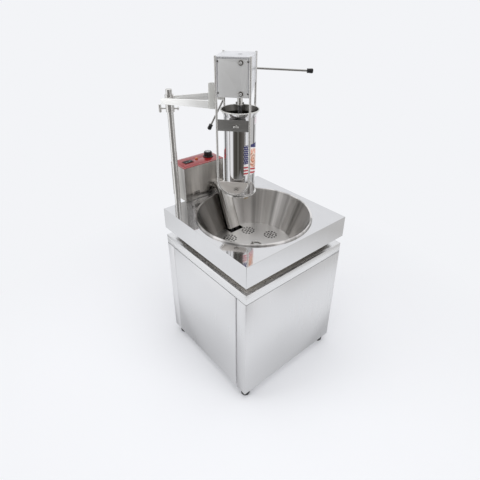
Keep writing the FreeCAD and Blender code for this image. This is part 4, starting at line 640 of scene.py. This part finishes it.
# %% [markdown]
# The extruder and the collar are turned about upright axes. Their parts are easier to model straight, each in
# a frame of its own that stands on the worktop, and are turned into place at the end.

# %% Frames of the pieces
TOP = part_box("worktop")[1].z
ARM_TURN = math.radians(40.5)
COLLAR_TURN = math.radians(49.5)
BARREL_X = 0.0154
rods_middle = (middle("front_frame_rod") + middle("rear_frame_rod")) / 2
post_middle = middle("post")
EXTRUDER = Matrix.Translation((rods_middle.x, rods_middle.y, TOP)) @ Matrix.Rotation(ARM_TURN, 4, "Z")
ON_COLLAR = Matrix.Translation((post_middle.x, post_middle.y, TOP)) @ Matrix.Rotation(COLLAR_TURN, 4, "Z")
print("worktop at", round(TOP, 4), "m, extruder at", [round(part, 4) for part in rods_middle.xy])

# %% [markdown]
# ## Folded sheet and ground plate
# Sheet metal never has a razor edge: a folded or sheared edge is rounded by a fraction of a millimetre. Each
# of these copies a CAD piece, joins its flat triangles into whole faces and rounds its sharp edges.

# %% Soft edges
def soft_copy(node, width):
    """A CAD piece with rounded edges, in the place of the sharp one."""
    shape = bmesh.new()
    shape.from_mesh(nodes[node].data)
    bmesh.ops.remove_doubles(shape, verts=shape.verts, dist=1e-6)
    bmesh.ops.dissolve_limit(
        shape, angle_limit=math.radians(1), use_dissolve_boundaries=False, verts=shape.verts,
        edges=shape.edges)
    soften(shape, width, limit=35)
    finish_piece(
        node + "_sheet", shape, nodes[node]["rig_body"], finish_of[node], [node], sharp=50)


EDGE_ROUNDS = {
    "door_skin": 0.0009, "door_liner": 0.0005, "front_stiles": 0.0006, "left_side_panel": 0.0006,
    "right_side_panel": 0.0006, "cabinet_top": 0.0006, "recess_plinth": 0.0006, "arm_bars": 0.0008,
    "arm_brackets": 0.0008, "strap_plates": 0.0007, "gear_front_plate": 0.0006, "gear_case": 0.0008,
    "hanger_bracket": 0.0008, "control_panel": 0.0007, "half_moon_plates": 0.0007,
}
for node, width in EDGE_ROUNDS.items():
    soft_copy(node, width)

# %% [markdown]
# ## The oil bowl
# A spun bowl has one continuous skin: the wall runs up into a rim that is rolled over and back down on the
# worktop. The rolled rim is most of an ellipse of points in the outline.

# %% Oil bowl
bowl_place = (bowl_middle.x, bowl_middle.y, TOP)
bowl_inside = [
    (0.0, -0.2144), (0.1800, -0.2144), (0.1852, -0.2122), (0.2050, -0.1780), (0.2066, -0.1745),
    (0.2794, -0.0030)]
rolled_rim = arc(0.2860, 0.0026, 0.0060, 0.0064, 185, -20, 14)
bowl_outside = [
    (0.2880, 0.0004), (0.2822, 0.0004), (0.2810, -0.0030), (0.2082, -0.1745), (0.1860, -0.2160),
    (0.0, -0.2160)]
shape = bmesh.new()
spun(shape, bowl_inside + rolled_rim + bowl_outside, bowl_place, 160)
finish_piece("spun_bowl", shape, "cabinet", bowl_steel, ["oil_bowl"])

# %% [markdown]
# The strainer's holes were punched from below, which leaves a low raised lip round each. The lips are near
# black: painted shade that makes the holes easy to see. They lie in six clusters, each with two rings of
# holes round a middle one.

# %% Strainer lips
STRAINER_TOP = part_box("strainer_disc")[1].z
CLUSTERS = 6
CLUSTER_CIRCLE = 0.127
HOLE_PITCH = 0.0157
strainer_middle = (bowl_place[0], bowl_place[1], STRAINER_TOP)
hole_places = []
for cluster in range(CLUSTERS):
    cluster_way = math.radians(30 + 360 / CLUSTERS * cluster)
    cluster_place = plan_point(strainer_middle, CLUSTER_CIRCLE, cluster_way)
    hole_places.append(cluster_place)
    for ring in (1, 2):
        for spoke in range(6 * ring):
            hole_way = math.radians(60 * spoke / ring)
            hole_places.append(plan_point(cluster_place, HOLE_PITCH * ring, hole_way))

hole_lip = [(0.0030, -0.0006), (0.0031, 0.00005), (0.0043, 0.00022), (0.0054, 0.00004)]
shape = bmesh.new()
for hole_place in hole_places:
    spun(shape, hole_lip, hole_place, 16)
# painted shade: the near-black lips stand in for the dark of the holes
finish_piece("strainer_lips", shape, nodes["strainer_disc"]["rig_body"], hole_shade_steel)

# %% [markdown]
# The heater box breathes through punched vents in its side: one hole, and a small field of eight. Their lips
# are the same form on a smaller scale, laid over so that they face sideways.

# %% Vent lips
LONE_VENT = (0.037, 0.035)
VENT_FIELD = (0.056, 0.031)
VENT_PITCH = 0.009
box_low, box_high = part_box("control_box")
vent_places = [LONE_VENT] + [
    (VENT_FIELD[0] + VENT_PITCH * column, VENT_FIELD[1] + VENT_PITCH * line)
    for column in range(4) for line in range(2)]
vent_lip = [(0.0022, -0.0006), (0.0023, 0.00004), (0.0031, 0.00016), (0.0038, 0.00002)]
shape = bmesh.new()
for along, up in vent_places:
    lip = bmesh.new()
    spun(lip, vent_lip, steps=16)
    merge(shape, lip, Matrix.Translation((box_high.x, box_low.y + along, box_low.z + up))
          @ Matrix.Rotation(math.radians(90), 4, "Y"))
# painted shade: the vent lips are near black, standing in for the dark of the holes
finish_piece("vent_lips", shape, "cabinet", hole_shade_steel)

# %% [markdown]
# ## The barrel
# A mirror-polished tube with a steeply flared mouth and a rolled bead. Its floor curves into its wall.

# %% Barrel
barrel_place = (BARREL_X, 0, 0)
barrel_outside = (
    [(0.0320, 0.1180)] + arc(0.0700, 0.1220, 0.0040, 0.0040, -90, 0, 5)
    + [(0.0740, 0.4900), (0.0744, 0.4922), (0.0752, 0.4945), (0.0850, 0.5135)])
shape = bmesh.new()
spun(shape, barrel_outside, barrel_place, 128)
finish_piece("dough_barrel", shape, "arm", barrel_steel, ["barrel"], EXTRUDER)

# %% [markdown]
# The bead is satin where it was rolled. The bore is a skin of its own that starts inside the bead, and dough
# has dulled it.

# %% Bead and bore
bead = arc(0.0858, 0.5164, 0.0027, 0.0029, -105, 165, 14)
shape = bmesh.new()
spun(shape, bead, barrel_place, 128)
finish_piece("barrel_bead", shape, "arm", plate_steel, matrix=EXTRUDER)

barrel_inside = [
    bead[-1], (0.0824, 0.5142), (0.0738, 0.4950), (0.0729, 0.4926), (0.0725, 0.4900),
    (0.0725, 0.1225), (0.0710, 0.1210), (0.0320, 0.1210), (0.0320, 0.1180)]
shape = bmesh.new()
spun(shape, barrel_inside, barrel_place, 128)
finish_piece("barrel_bore", shape, "arm", bore_steel, matrix=EXTRUDER)

# %% [markdown]
# ## Feet and collar screws
# Turned parts again. Each foot is a rubber cone with a rounded sole and a groove under its plate.

# %% Feet
FOOT_INSET = 0.026
foot_low, foot_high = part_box("feet")
foot_outline = (
    [(0.0, 0.0)] + arc(0.0195, 0.0030, 0.0028, 0.0030, -90, 0, 4)
    + [(0.0250, 0.0400), (0.0244, 0.0412), (0.0244, 0.0424), (0.0258, 0.0432), (0.0258, 0.0480),
       (0.0, 0.0480)])
shape = bmesh.new()
for foot_x in (foot_low.x + FOOT_INSET, foot_high.x - FOOT_INSET):
    for foot_y in (foot_low.y + FOOT_INSET, foot_high.y - FOOT_INSET):
        spun(shape, foot_outline, (foot_x, foot_y, 0), 48)
finish_piece("rubber_feet", shape, "cabinet", rubber, ["feet"])

# %% [markdown]
# Two screws hold the collar on its post: a clamp screw with a cross bar for a handle, and a lock screw with
# a round head on the other side. Bars give both, and a bevel rounds the ends of the cross bar.

# %% Collar screws
SCREW_RADIUS = 0.0038
SCREW_ROOT = 0.0149
SCREW_LEVEL = middle("clamp_screw").z - TOP


def beside_post(reach, up=0.0):
    """A point beside the post, at the level of the collar's screws or above it."""
    return (reach, 0, SCREW_LEVEL + up)


shape = bmesh.new()
bar(shape, beside_post(-SCREW_ROOT), beside_post(-0.048), SCREW_RADIUS)
bar(shape, beside_post(-0.046, -0.018), beside_post(-0.046, 0.018), 0.0067)
bar(shape, beside_post(-0.0350), beside_post(-0.0440), 0.0052, 0.0058)
soften(shape, 0.0022, 4)
finish_piece("clamp_handle", shape, "clamp", bar_steel, ["clamp_screw"], ON_COLLAR)

shape = bmesh.new()
bar(shape, beside_post(SCREW_ROOT), beside_post(0.033), SCREW_RADIUS)
bar(shape, beside_post(0.032), beside_post(0.0400), 0.0074, sides=20)
soften(shape, 0.0007)
finish_piece("lock_knob", shape, "lock", bar_steel, ["lock_screw"], ON_COLLAR)

# %% [markdown]
# ## Winged screws and nuts
# A wing is a block, rounded hard at its corners and leaned outwards. Two of them and a boss make a thumb
# screw. Each screw stands along Z from the barrel's axis, and is laid over to point at the front.

# %% Wings
WING_MIDDLE = 0.56
WING_LENGTH = 0.66
WING_ROUND = 0.2


def wings(shape, place, turn, reach, height, thickness, lean, lift):
    """Two wings that lean away from each other, standing along Z from place."""
    for side in (-1, 1):
        matrix = (
            Matrix.Translation(place) @ Matrix.Rotation(turn, 4, "Z")
            @ Matrix.Translation((side * reach * WING_MIDDLE, 0, lift)) @ Matrix.Rotation(side * lean, 4, "Y")
            @ Matrix.Diagonal((reach * WING_LENGTH, thickness, height, 1)))
        made = bmesh.ops.create_cube(shape, size=1.0, matrix=matrix)
        corners = [edge for vert in made["verts"] for edge in vert.link_edges
                   if abs((edge.verts[0].co - edge.verts[1].co).length - thickness) < 1e-5]
        bmesh.ops.bevel(
            shape, geom=list(set(corners)), offset=reach * WING_ROUND, offset_type="OFFSET",
            affect="EDGES", segments=5, profile=0.5, material=-1, clamp_overlap=True)


# %% Thumb screws
BARREL_SKIN = 0.0743
LAID_FORWARD = Matrix.Rotation(math.radians(90), 4, "X")


def thumb_screw(title, body, node, material):
    """A winged screw with its tip on the barrel."""
    shape = bmesh.new()
    bar(shape, (0, 0, BARREL_SKIN), (0, 0, 0.0950), SCREW_RADIUS)
    bar(shape, (0, 0, 0.0885), (0, 0, 0.0980), 0.0063, 0.0050)
    wings(
        shape, (0, 0, 0), 0.0, reach=0.0125, height=0.0112, thickness=0.0072, lean=math.radians(14),
        lift=0.0998)
    soften(shape, 0.0016, 3)
    matrix = EXTRUDER @ Matrix.Translation((BARREL_X, 0, middle(node).z - TOP)) @ LAID_FORWARD
    finish_piece(title, shape, body, material, [node], matrix)


thumb_screw("upper_wing_screw", "upper_screw", "upper_thumb_screw", bar_steel)
thumb_screw("lower_wing_screw", "lower_screw", "lower_thumb_screw", dull_bar)

# %% [markdown]
# Three nuts of the same kind, smaller and with their wings turned down, hold the die plate under the barrel.

# %% Die nuts
NUT_CIRCLE = 0.072
NUT_TOP = 0.1125
NUT_FOOT = 0.1045
shape = bmesh.new()
for degrees in (-55, 65, 185):
    nut_way = math.radians(degrees)
    nut_place = plan_point((BARREL_X, 0, 0.113), NUT_CIRCLE, nut_way)
    bar(shape, (nut_place.x, nut_place.y, NUT_TOP), (nut_place.x, nut_place.y, NUT_FOOT), 0.0058, 0.0050)
    wings(
        shape, nut_place, nut_way + math.pi / 2, reach=0.0108, height=0.0080, thickness=0.0026,
        lean=math.radians(-14), lift=-0.0070)
soften(shape, 0.0004)
finish_piece("die_nuts", shape, "arm", bronze, ["die_wing_nuts"], EXTRUDER)

# %% [markdown]
# ## Socket screws
# The head is four loops, each bridged to the next: three round ones for the outside, and the mouth of the
# socket. The mouth's loop is then pushed inwards and closed.

# %% Socket head
def socket_head(shape, matrix, radius, height, socket, sides, depth):
    """A head that stands along Z from matrix, with a socket in its top."""
    head = bmesh.new()
    loops = []
    loop_sizes = (
        (radius, 0.0, 40), (radius, height * 0.62, 40), (radius * 0.9, height, 40), (socket, height, sides))
    for loop_radius, loop_height, count in loop_sizes:
        made = bmesh.ops.create_circle(
            head, cap_ends=False, segments=count, radius=loop_radius,
            matrix=Matrix.Translation((0, 0, loop_height)))
        loops.append({edge for vert in made["verts"] for edge in vert.link_edges})
    for lower, upper in zip(loops, loops[1:]):
        bmesh.ops.bridge_loops(head, edges=list(lower | upper))
    pushed = bmesh.ops.extrude_edge_only(head, edges=list(loops[-1]))["geom"]
    floor_verts = [item for item in pushed if isinstance(item, bmesh.types.BMVert)]
    bmesh.ops.translate(head, vec=(0, 0, -depth), verts=floor_verts)
    bmesh.ops.contextual_create(head, geom=[
        item for item in pushed if isinstance(item, bmesh.types.BMEdge)
        and all(vert in floor_verts for vert in item.verts)])
    merge(shape, head, matrix)


# %% [markdown]
# Two big guide bolts go through the gear case. Each has a wide shallow cup, and in it a smaller head with a
# hexagon socket. Four small screws with square sockets hold the front plate.

# %% Screw heads
PLATE_FRONT = 0.0865
BOLT_X = 0.03245
BOLT_LEVELS = (0.724, 0.601)
COVER_X = 0.0629
COVER_LEVELS = (0.602, 0.728)


def on_plate(across, level, proud=0.0):
    """The placing of a head on the gear case's front plate."""
    return Matrix.Translation((across, -PLATE_FRONT - proud, level)) @ LAID_FORWARD


shape = bmesh.new()
for level in BOLT_LEVELS:
    bar(shape, (BOLT_X, -PLATE_FRONT, level), (BOLT_X, 0.0145, level), 0.0078)
    socket_head(shape, on_plate(BOLT_X, level), 0.0114, 0.0024, 0.0082, 40, 0.0010)
finish_piece("guide_bolt_pair", shape, "arm", dull_bar, ["guide_bolts"], EXTRUDER)

shape = bmesh.new()
for level in BOLT_LEVELS:
    socket_head(shape, on_plate(BOLT_X, level, 0.0014), 0.0058, 0.0044, 0.0027, 6, 0.0030)
finish_piece("guide_bolt_heads", shape, "arm", gear_steel, matrix=EXTRUDER)

shape = bmesh.new()
for across in (-COVER_X, COVER_X):
    for level in COVER_LEVELS:
        socket_head(shape, on_plate(across, level), 0.0034, 0.0019, 0.0013, 4, 0.0012)
finish_piece("cover_screw_set", shape, "arm", dull_bar, ["cover_screws"], EXTRUDER)

# %% [markdown]
# ## The crank
# Two bars are welded into one hub, a hundred and sixteen degrees apart. The grips are moulded on, with a
# domed end, a thicker middle and a lip.

# %% Crank arms
CRANK_MIDDLE = Vector((-0.0076, 0.112, 0.675))
CRANK_ANGLES = (-1, -117)
ALONG_SHAFT = Vector((0, 1, 0))
shape = bmesh.new()
bar(shape, CRANK_MIDDLE - ALONG_SHAFT * 0.017, CRANK_MIDDLE + ALONG_SHAFT * 0.0168, 0.0198, sides=48)
soften(shape, 0.0018, 3)
for degrees in CRANK_ANGLES:
    way = Vector((math.cos(math.radians(degrees)), 0, math.sin(math.radians(degrees))))
    bar(shape, CRANK_MIDDLE + way * 0.015, CRANK_MIDDLE + way * 0.322, 0.0045)
    bar(shape, CRANK_MIDDLE + way * 0.018, CRANK_MIDDLE + way * 0.0235, 0.0068, 0.0045)
finish_piece("crank_pair", shape, "crank", dull_bar, ["crank_arms"], EXTRUDER)

# %% Crank grips
grip_outline = (
    [(0.0046, 0.3032), (0.0088, 0.3032)] + arc(0.0088, 0.3047, 0.0015, 0.0015, -60, 60, 3)
    + [(0.0092, 0.3072), (0.0098, 0.3170), (0.0103, 0.3230)] + arc(0.0043, 0.3250, 0.0060, 0.0058, 0, 90, 6)
    + [(0.0, 0.3308)])
shape = bmesh.new()
for degrees in CRANK_ANGLES:
    grip = bmesh.new()
    spun(grip, grip_outline, steps=40)
    merge(shape, grip, Matrix.Translation(CRANK_MIDDLE) @ Matrix.Rotation(math.radians(90 - degrees), 4, "Y"))
finish_piece("crank_grip_pair", shape, "crank", black_plastic, ["crank_grips"], EXTRUDER)

# %% [markdown]
# ## Controls
# The knob keeps its CAD form and gains a grey cap, a pointer and a dial of numbers. The numbers are text,
# turned into a mesh before it is set round the dial.

# %% Text
def text_shape(words, height):
    """The filled outline of some text, centred on the origin."""
    curve = bpy.data.curves.new("words", "FONT")
    curve.body = words
    curve.size = height
    curve.align_x = "CENTER"
    curve.align_y = "CENTER"
    curve.resolution_u = 3
    holder = bpy.data.objects.new("words", curve)
    bpy.context.scene.collection.objects.link(holder)
    mesh = bpy.data.meshes.new_from_object(holder)
    bpy.data.objects.remove(holder)
    made = bmesh.new()
    made.from_mesh(mesh)
    bpy.data.meshes.remove(mesh)
    return made


# %% Knob cap and dial
knob_low, knob_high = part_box("control_knob")
knob_middle = middle("control_knob")
KNOB_TOP = (knob_middle.x, knob_middle.y, knob_high.z)
POINTER_WAY = math.radians(-50)
POINTER_REACH = 0.0098
DIAL_STEP = math.radians(45)
DIAL_REACH = 0.0243
DIAL_LEVEL = knob_low.z + 0.00465
DIAL_NUMBERS = ("0", "60", "90", "120", "150", "180", "210")

shape = bmesh.new()
cap_outline = [(0.0, 0.0), (0.0148, 0.0)] + arc(0.0140, 0.0002, 0.0008, 0.0006, 0, 90, 3) + [(0.0, 0.0008)]
spun(shape, cap_outline, KNOB_TOP, 64)
finish_piece("knob_cap", shape, "knob", cap_plastic)

shape = bmesh.new()
pointer_place = plan_point(KNOB_TOP, POINTER_REACH, POINTER_WAY) + Vector((0, 0, 0.0010))
block(shape, (0.0080, 0.0016, 0.0006), pointer_place, POINTER_WAY)
for index, words in enumerate(DIAL_NUMBERS):
    digit_way = POINTER_WAY - DIAL_STEP * index
    merge(shape, text_shape(words, 0.0040), (
        Matrix.Translation((knob_middle.x, knob_middle.y, DIAL_LEVEL))
        @ Matrix.Rotation(digit_way - math.pi / 2, 4, "Z")
        @ Matrix.Translation((0, DIAL_REACH, 0)) @ Matrix.Diagonal((0.85, 0.85, 1, 1))))
finish_piece("knob_marks", shape, "knob", print_ink)

# %% [markdown]
# The rocker gets its two marks. The ring lies on the half that slopes up, so it is tilted with it, and the
# bar lies on the half that is pressed level with the panel.

# %% Rocker marks
PANEL_TOP = panel_high.z
ROCKER_RISE = 0.0041
ROCKER_HALF = 0.0175
MARK_REACH = 0.0095
rocker_x = middle("rocker_key").x
rocker_y = middle("switch_body").y

ring = bmesh.new()
for radius in (0.0026, 0.0017):
    bmesh.ops.create_circle(ring, cap_ends=False, segments=32, radius=radius)
bmesh.ops.bridge_loops(ring, edges=ring.edges[:])
ring_level = PANEL_TOP + 0.00145 + ROCKER_RISE * MARK_REACH / ROCKER_HALF
shape = bmesh.new()
merge(shape, ring, Matrix.Translation((rocker_x, rocker_y + MARK_REACH, ring_level))
      @ Matrix.Rotation(math.atan2(ROCKER_RISE, ROCKER_HALF), 4, "X"))
block(shape, (0.0058, 0.0011, 0.0002), (rocker_x, rocker_y - MARK_REACH, PANEL_TOP + 0.0012))
finish_piece("rocker_marks", shape, "rocker", print_ink)

# %% [markdown]
# The lamp's lens is one turned form: a plug through the panel, a flange on top of it and a low dome.

# %% Lamp
lamp_middle = middle("indicator_lamp")
lamp_outline = (
    [(0.0, -0.0118), (0.0059, -0.0118), (0.0059, 0.0), (0.0079, 0.0), (0.0079, 0.0018)]
    + arc(0.0050, 0.0020, 0.0021, 0.0038, 0, 90, 7) + [(0.0, 0.0059)])
shape = bmesh.new()
spun(shape, lamp_outline, (lamp_middle.x, lamp_middle.y, PANEL_TOP), 48)
finish_piece("lamp_lens", shape, "cabinet", amber, ["indicator_lamp"])

# %% [markdown]
# ## Printed labels
# Two labels are wrapped round the barrel: a strip bent by a spin, with its own coordinates from 0 to 1.

# %% Wrapped strip
def wrapped(title, start, end, low, high, material):
    """A thin strip round the barrel, between two angles in the extruder's frame."""
    shape = bmesh.new()
    made = bmesh.ops.create_grid(shape, x_segments=1, y_segments=12, size=0.5)
    side = [vert for vert in made["verts"] if vert.co.x > 0]
    bmesh.ops.delete(shape, geom=side, context="VERTS")
    for vert in shape.verts:
        vert.co = Vector((BARREL_SKIN, 0, low + (vert.co.y + 0.5) * (high - low)))
    bmesh.ops.rotate(
        shape, cent=(0, 0, 0), matrix=Matrix.Rotation(math.radians(start), 3, "Z"), verts=shape.verts)
    bmesh.ops.spin(
        shape, geom=shape.verts[:] + shape.edges[:], cent=(0, 0, 0), axis=(0, 0, 1),
        angle=math.radians(end - start), steps=28, use_merge=False)
    marks = shape.loops.layers.uv.new("label")
    for face in shape.faces:
        for loop in face.loops:
            around = math.degrees(math.atan2(loop.vert.co.y, loop.vert.co.x))
            across = ((around - start + 180) % 360 - 180) / (end - start)
            loop[marks].uv = (across, (loop.vert.co.z - low) / (high - low))
    bmesh.ops.translate(shape, vec=(BARREL_X, 0, 0), verts=shape.verts)
    finish_piece(title, shape, "arm", material, matrix=EXTRUDER)


# %% [markdown]
# The pattern is arithmetic on those coordinates, in millimetres so that dots stay round. The left part has
# stripes under a navy field of dots. The right part has a slanted block with rings in it, over two ribbons.

# %% Label colours
NAVY = (0.022, 0.024, 0.13, 1)
RED = (0.50, 0.035, 0.045, 1)
PAPER = (0.82, 0.80, 0.80, 1)
SALMON = (0.80, 0.38, 0.27, 1)
CREAM = (0.84, 0.72, 0.62, 1)
BROWN = (0.42, 0.13, 0.05, 1)
PINK = (0.72, 0.50, 0.60, 1)

# %% Label shapes
LABEL_WIDTH = 84.0
LABEL_HEIGHT = 148.0
DOT_PITCH = 10.0
STRIPE_PITCH = 15.0
RING_PITCH = 14.0
RINGS_MIDDLE = (56.0, 76.0)

label = Finish("barrel_label", PAPER[:3], 0.35, metallic=0.0, coat_weight=0.3)
label_u, label_v, _ = label.parts(label.node("ShaderNodeTexCoord").outputs["UV"])
label_x = label_u * LABEL_WIDTH
label_y = label_v * LABEL_HEIGHT

left = label_x < 25.0
right = label_x > 27.0
stripes = ((label_y % STRIPE_PITCH) > STRIPE_PITCH / 2) * (label_y < 52.0)
navy = left * (label_y > 58.0)
row = label_y / DOT_PITCH
odd_row = (row % 2.0) > 1.0
dot_x = ((label_x / DOT_PITCH + odd_row * 0.5) % 1.0 - 0.5) * DOT_PITCH
dot_y = (row % 1.0 - 0.5) * DOT_PITCH
dots = (dot_x * dot_x + dot_y * dot_y) < 4.6
slant = label_y + label_x * 0.28
slant_block = right * slant.between(48.0, 140.0)
ribbons = right * (slant.between(18.0, 27.0) + slant.between(36.0, 45.0)).clipped()
rings = (distance(label_x - RINGS_MIDDLE[0], label_y - RINGS_MIDDLE[1]) % RING_PITCH) < 5.0
blotches = label.noise(85.0, 1.0).ramped(0.45, 0.55)

# %% Label finish
label_color = label.mix(left * stripes, PAPER, RED)
label_color = label.mix(navy, label_color, NAVY)
label_color = label.mix(navy * dots, label_color, PAPER)
label_color = label.mix(slant_block, label_color, label.mix(blotches, SALMON, CREAM))
label_color = label.mix(slant_block * rings * (slant < 118.0), label_color, BROWN)
label_color = label.mix(ribbons, label_color, RED)
label_color = label.mix(right * (slant > 146.0), label_color, NAVY)
label.set("Base Color", label_color)
label.set("Roughness", 0.35 + label.noise(60.0).swing(0.1))
label.bump(label.noise(300.0), 10 * MICRON)

small = Finish("small_label", PAPER[:3], 0.4, metallic=0.0)
small_u, small_v, _ = small.parts(small.node("ShaderNodeTexCoord").outputs["UV"])
lines = (small_v * 9.0 + small_u * 1.2) % 1.0 > 0.62
printed_part = small_u.between(0.12, 0.88) * small_v.between(0.1, 0.9)
small.set("Base Color", small.mix(lines * printed_part, PAPER, PINK))
small.set("Roughness", 0.4 + small.noise(60.0).swing(0.1))
print(len(label.tree.nodes), "nodes in the large label,", len(small.tree.nodes), "in the small one")

# %% [markdown]
# Both labels sit to the right of the side of the barrel that faces the camera. Each row gives the angles from
# that side, in degrees, and the heights of the lower and upper edge above the worktop.

# %% Labels
towards_camera = CAMERA_PLACE - rods_middle
camera_side = math.degrees(math.atan2(towards_camera.y, towards_camera.x) - ARM_TURN)
LABELS = [
    ("barrel_label", 14, 79, 0.223, 0.371, label.material),
    ("barrel_small_label", 60, 86, 0.456, 0.490, small.material),
]
for title, start, end, lower_edge, upper_edge, material in LABELS:
    wrapped(title, camera_side + start, camera_side + end, lower_edge, upper_edge, material)

# %% [markdown]
# ## The studio
# What steel looks like is mostly what it mirrors. The room is pale, with a wide dark side behind the camera,
# a bright strip at each edge of that, and a narrow dark band further round on either hand. One ramp round the
# compass says how bright each direction is. The middle of the ramp is the camera's side.

# %% Room brightness
BACKDROP = (0.896, 0.905, 0.930, 1.0)
CAMERA_SIDE = math.atan2(CAMERA_PLACE.y, CAMERA_PLACE.x)
COMPASS = [
    (0.000, (0.84, 0.85, 0.87)), (0.105, (0.84, 0.85, 0.87)), (0.128, (0.20, 0.20, 0.20)),
    (0.166, (0.20, 0.20, 0.20)), (0.195, (0.70, 0.71, 0.72)), (0.236, (0.84, 0.85, 0.87)),
    (0.262, (0.97, 0.97, 0.98)), (0.352, (0.95, 0.95, 0.96)), (0.374, (0.10, 0.095, 0.085)),
    (0.440, (0.055, 0.050, 0.042)), (0.466, (0.17, 0.165, 0.15)), (0.494, (0.055, 0.050, 0.042)),
    (0.555, (0.11, 0.10, 0.09)), (0.606, (0.16, 0.15, 0.14)), (0.622, (0.90, 0.90, 0.91)),
    (0.660, (0.88, 0.88, 0.90)), (0.680, (0.55, 0.545, 0.54)), (0.805, (0.60, 0.595, 0.59)),
    (0.822, (0.16, 0.155, 0.15)), (0.848, (0.16, 0.155, 0.15)), (0.866, (0.60, 0.595, 0.59)),
    (0.925, (0.84, 0.85, 0.87)),
]


def room(studio, vector):
    """How bright the room is in the direction of a vector from its middle."""
    turned = studio.node("ShaderNodeMapping", {"vector_type": "POINT"}, {
        "Vector": vector, "Rotation": (0, 0, -CAMERA_SIDE)})
    compass = studio.node("ShaderNodeTexGradient", {"gradient_type": "RADIAL"}, {"Vector": turned.outputs[0]})
    ramp = studio.node("ShaderNodeValToRGB", {"stops": COMPASS}, {"Fac": compass.outputs["Fac"]})
    return ramp.outputs["Color"]


print(len(COMPASS), "stops round the compass")

# %% [markdown]
# The floor takes a soft shadow close to the machine and fades into the backdrop further out. In reflections
# it carries a painted shadow right beside the machine, is pale a little further out, where the cabinet
# mirrors it, and takes the room's brightness far out.

# %% Floor
mesh = bpy.data.meshes.new("studio_floor")
shape = bmesh.new()
bmesh.ops.create_grid(shape, x_segments=1, y_segments=1, size=30)
shape.to_mesh(mesh)
shape.free()
floor = bpy.data.objects.new("studio_floor", mesh)
bpy.context.scene.collection.objects.link(floor)

ground = Finish("floor", BACKDROP[:3], 0.9, metallic=0.0)
floor_x, floor_y, _ = ground.parts(ground.place)
far = distance(floor_x, floor_y)
pale = ground.node("ShaderNodeEmission", {}, {"Color": BACKDROP})
lit = ground.node("ShaderNodeBsdfDiffuse", {}, {"Color": BACKDROP})
seen = ground.blend(far.ramped(0.45, 1.7) * 0.85 + 0.15, lit.outputs[0], pale.outputs[0])
# painted shadow: darker close to the machine, for the cabinet's lower part to mirror
near_mirrored_shade = ground.mix(far.ramped(0.34, 0.72), (0.56, 0.565, 0.58, 1), (0.84, 0.85, 0.87, 1))
mirrored = ground.node("ShaderNodeEmission", {}, {
    "Color": ground.mix(far.ramped(1.25, 1.75), near_mirrored_shade, room(ground, ground.place))})
glossy_ray = ground.node("ShaderNodeLightPath").outputs["Is Glossy Ray"]
whole = ground.blend(glossy_ray, seen, mirrored.outputs[0])
ground.join(whole, ground.tree.nodes["Material Output"].inputs["Surface"])
mesh.materials.append(ground.material)
print(len(ground.tree.nodes), "nodes in the floor")

# %% [markdown]
# The world shows the plain backdrop to the camera and the room to reflections, with a pale ceiling above it.
# Every other ray meets an even soft fill.

# %% World
CEILING = (0.90, 0.90, 0.91, 1)
SOFT_FILL = (0.52, 0.52, 0.53, 1)
world = bpy.data.worlds.new("studio")
bpy.context.scene.world = world
world.use_nodes = True
sky = Nodes(world.node_tree)
ray_kind = sky.node("ShaderNodeLightPath").outputs
direction = sky.node("ShaderNodeTexCoord").outputs["Generated"]
upward = sky.parts(direction)[2]
in_mirrors = sky.mix(upward.ramped(0.45, 0.8), room(sky, direction), CEILING)
off_camera = sky.mix(ray_kind["Is Glossy Ray"], SOFT_FILL, in_mirrors)
background = sky.tree.nodes["Background"]
sky.join(sky.mix(ray_kind["Is Camera Ray"], off_camera, BACKDROP), background.inputs["Color"])
sky.join(1.0, background.inputs["Strength"])
print(len(sky.tree.nodes), "nodes in the world")

# %% [markdown]
# Three soft boxes give the shading and the shadow. They are hidden from reflections, because the room
# already says what the steel mirrors.

# %% Lamps
AIM = Vector((0, 0, 0.8))
SOFTBOXES = [
    ("top_light", (0.3, -0.2, 4.0), (3.0, 3.0), 60),
    ("left_light", (-1.6, -3.2, 2.4), (2.0, 2.4), 42),
    ("right_light", (3.4, 0.6, 2.2), (2.0, 2.4), 36),
]
for title, place, size, power in SOFTBOXES:
    light = bpy.data.lights.new(title, "AREA")
    light.shape = "RECTANGLE"
    light.size, light.size_y = size
    light.energy = power
    lamp = bpy.data.objects.new(title, light)
    lamp.visible_glossy = False
    bpy.context.scene.collection.objects.link(lamp)
    facing = (AIM - Vector(place)).to_track_quat("-Z", "Y").to_matrix().to_4x4()
    lamp.matrix_world = Matrix.Translation(place) @ facing
    print(title, power, "W")
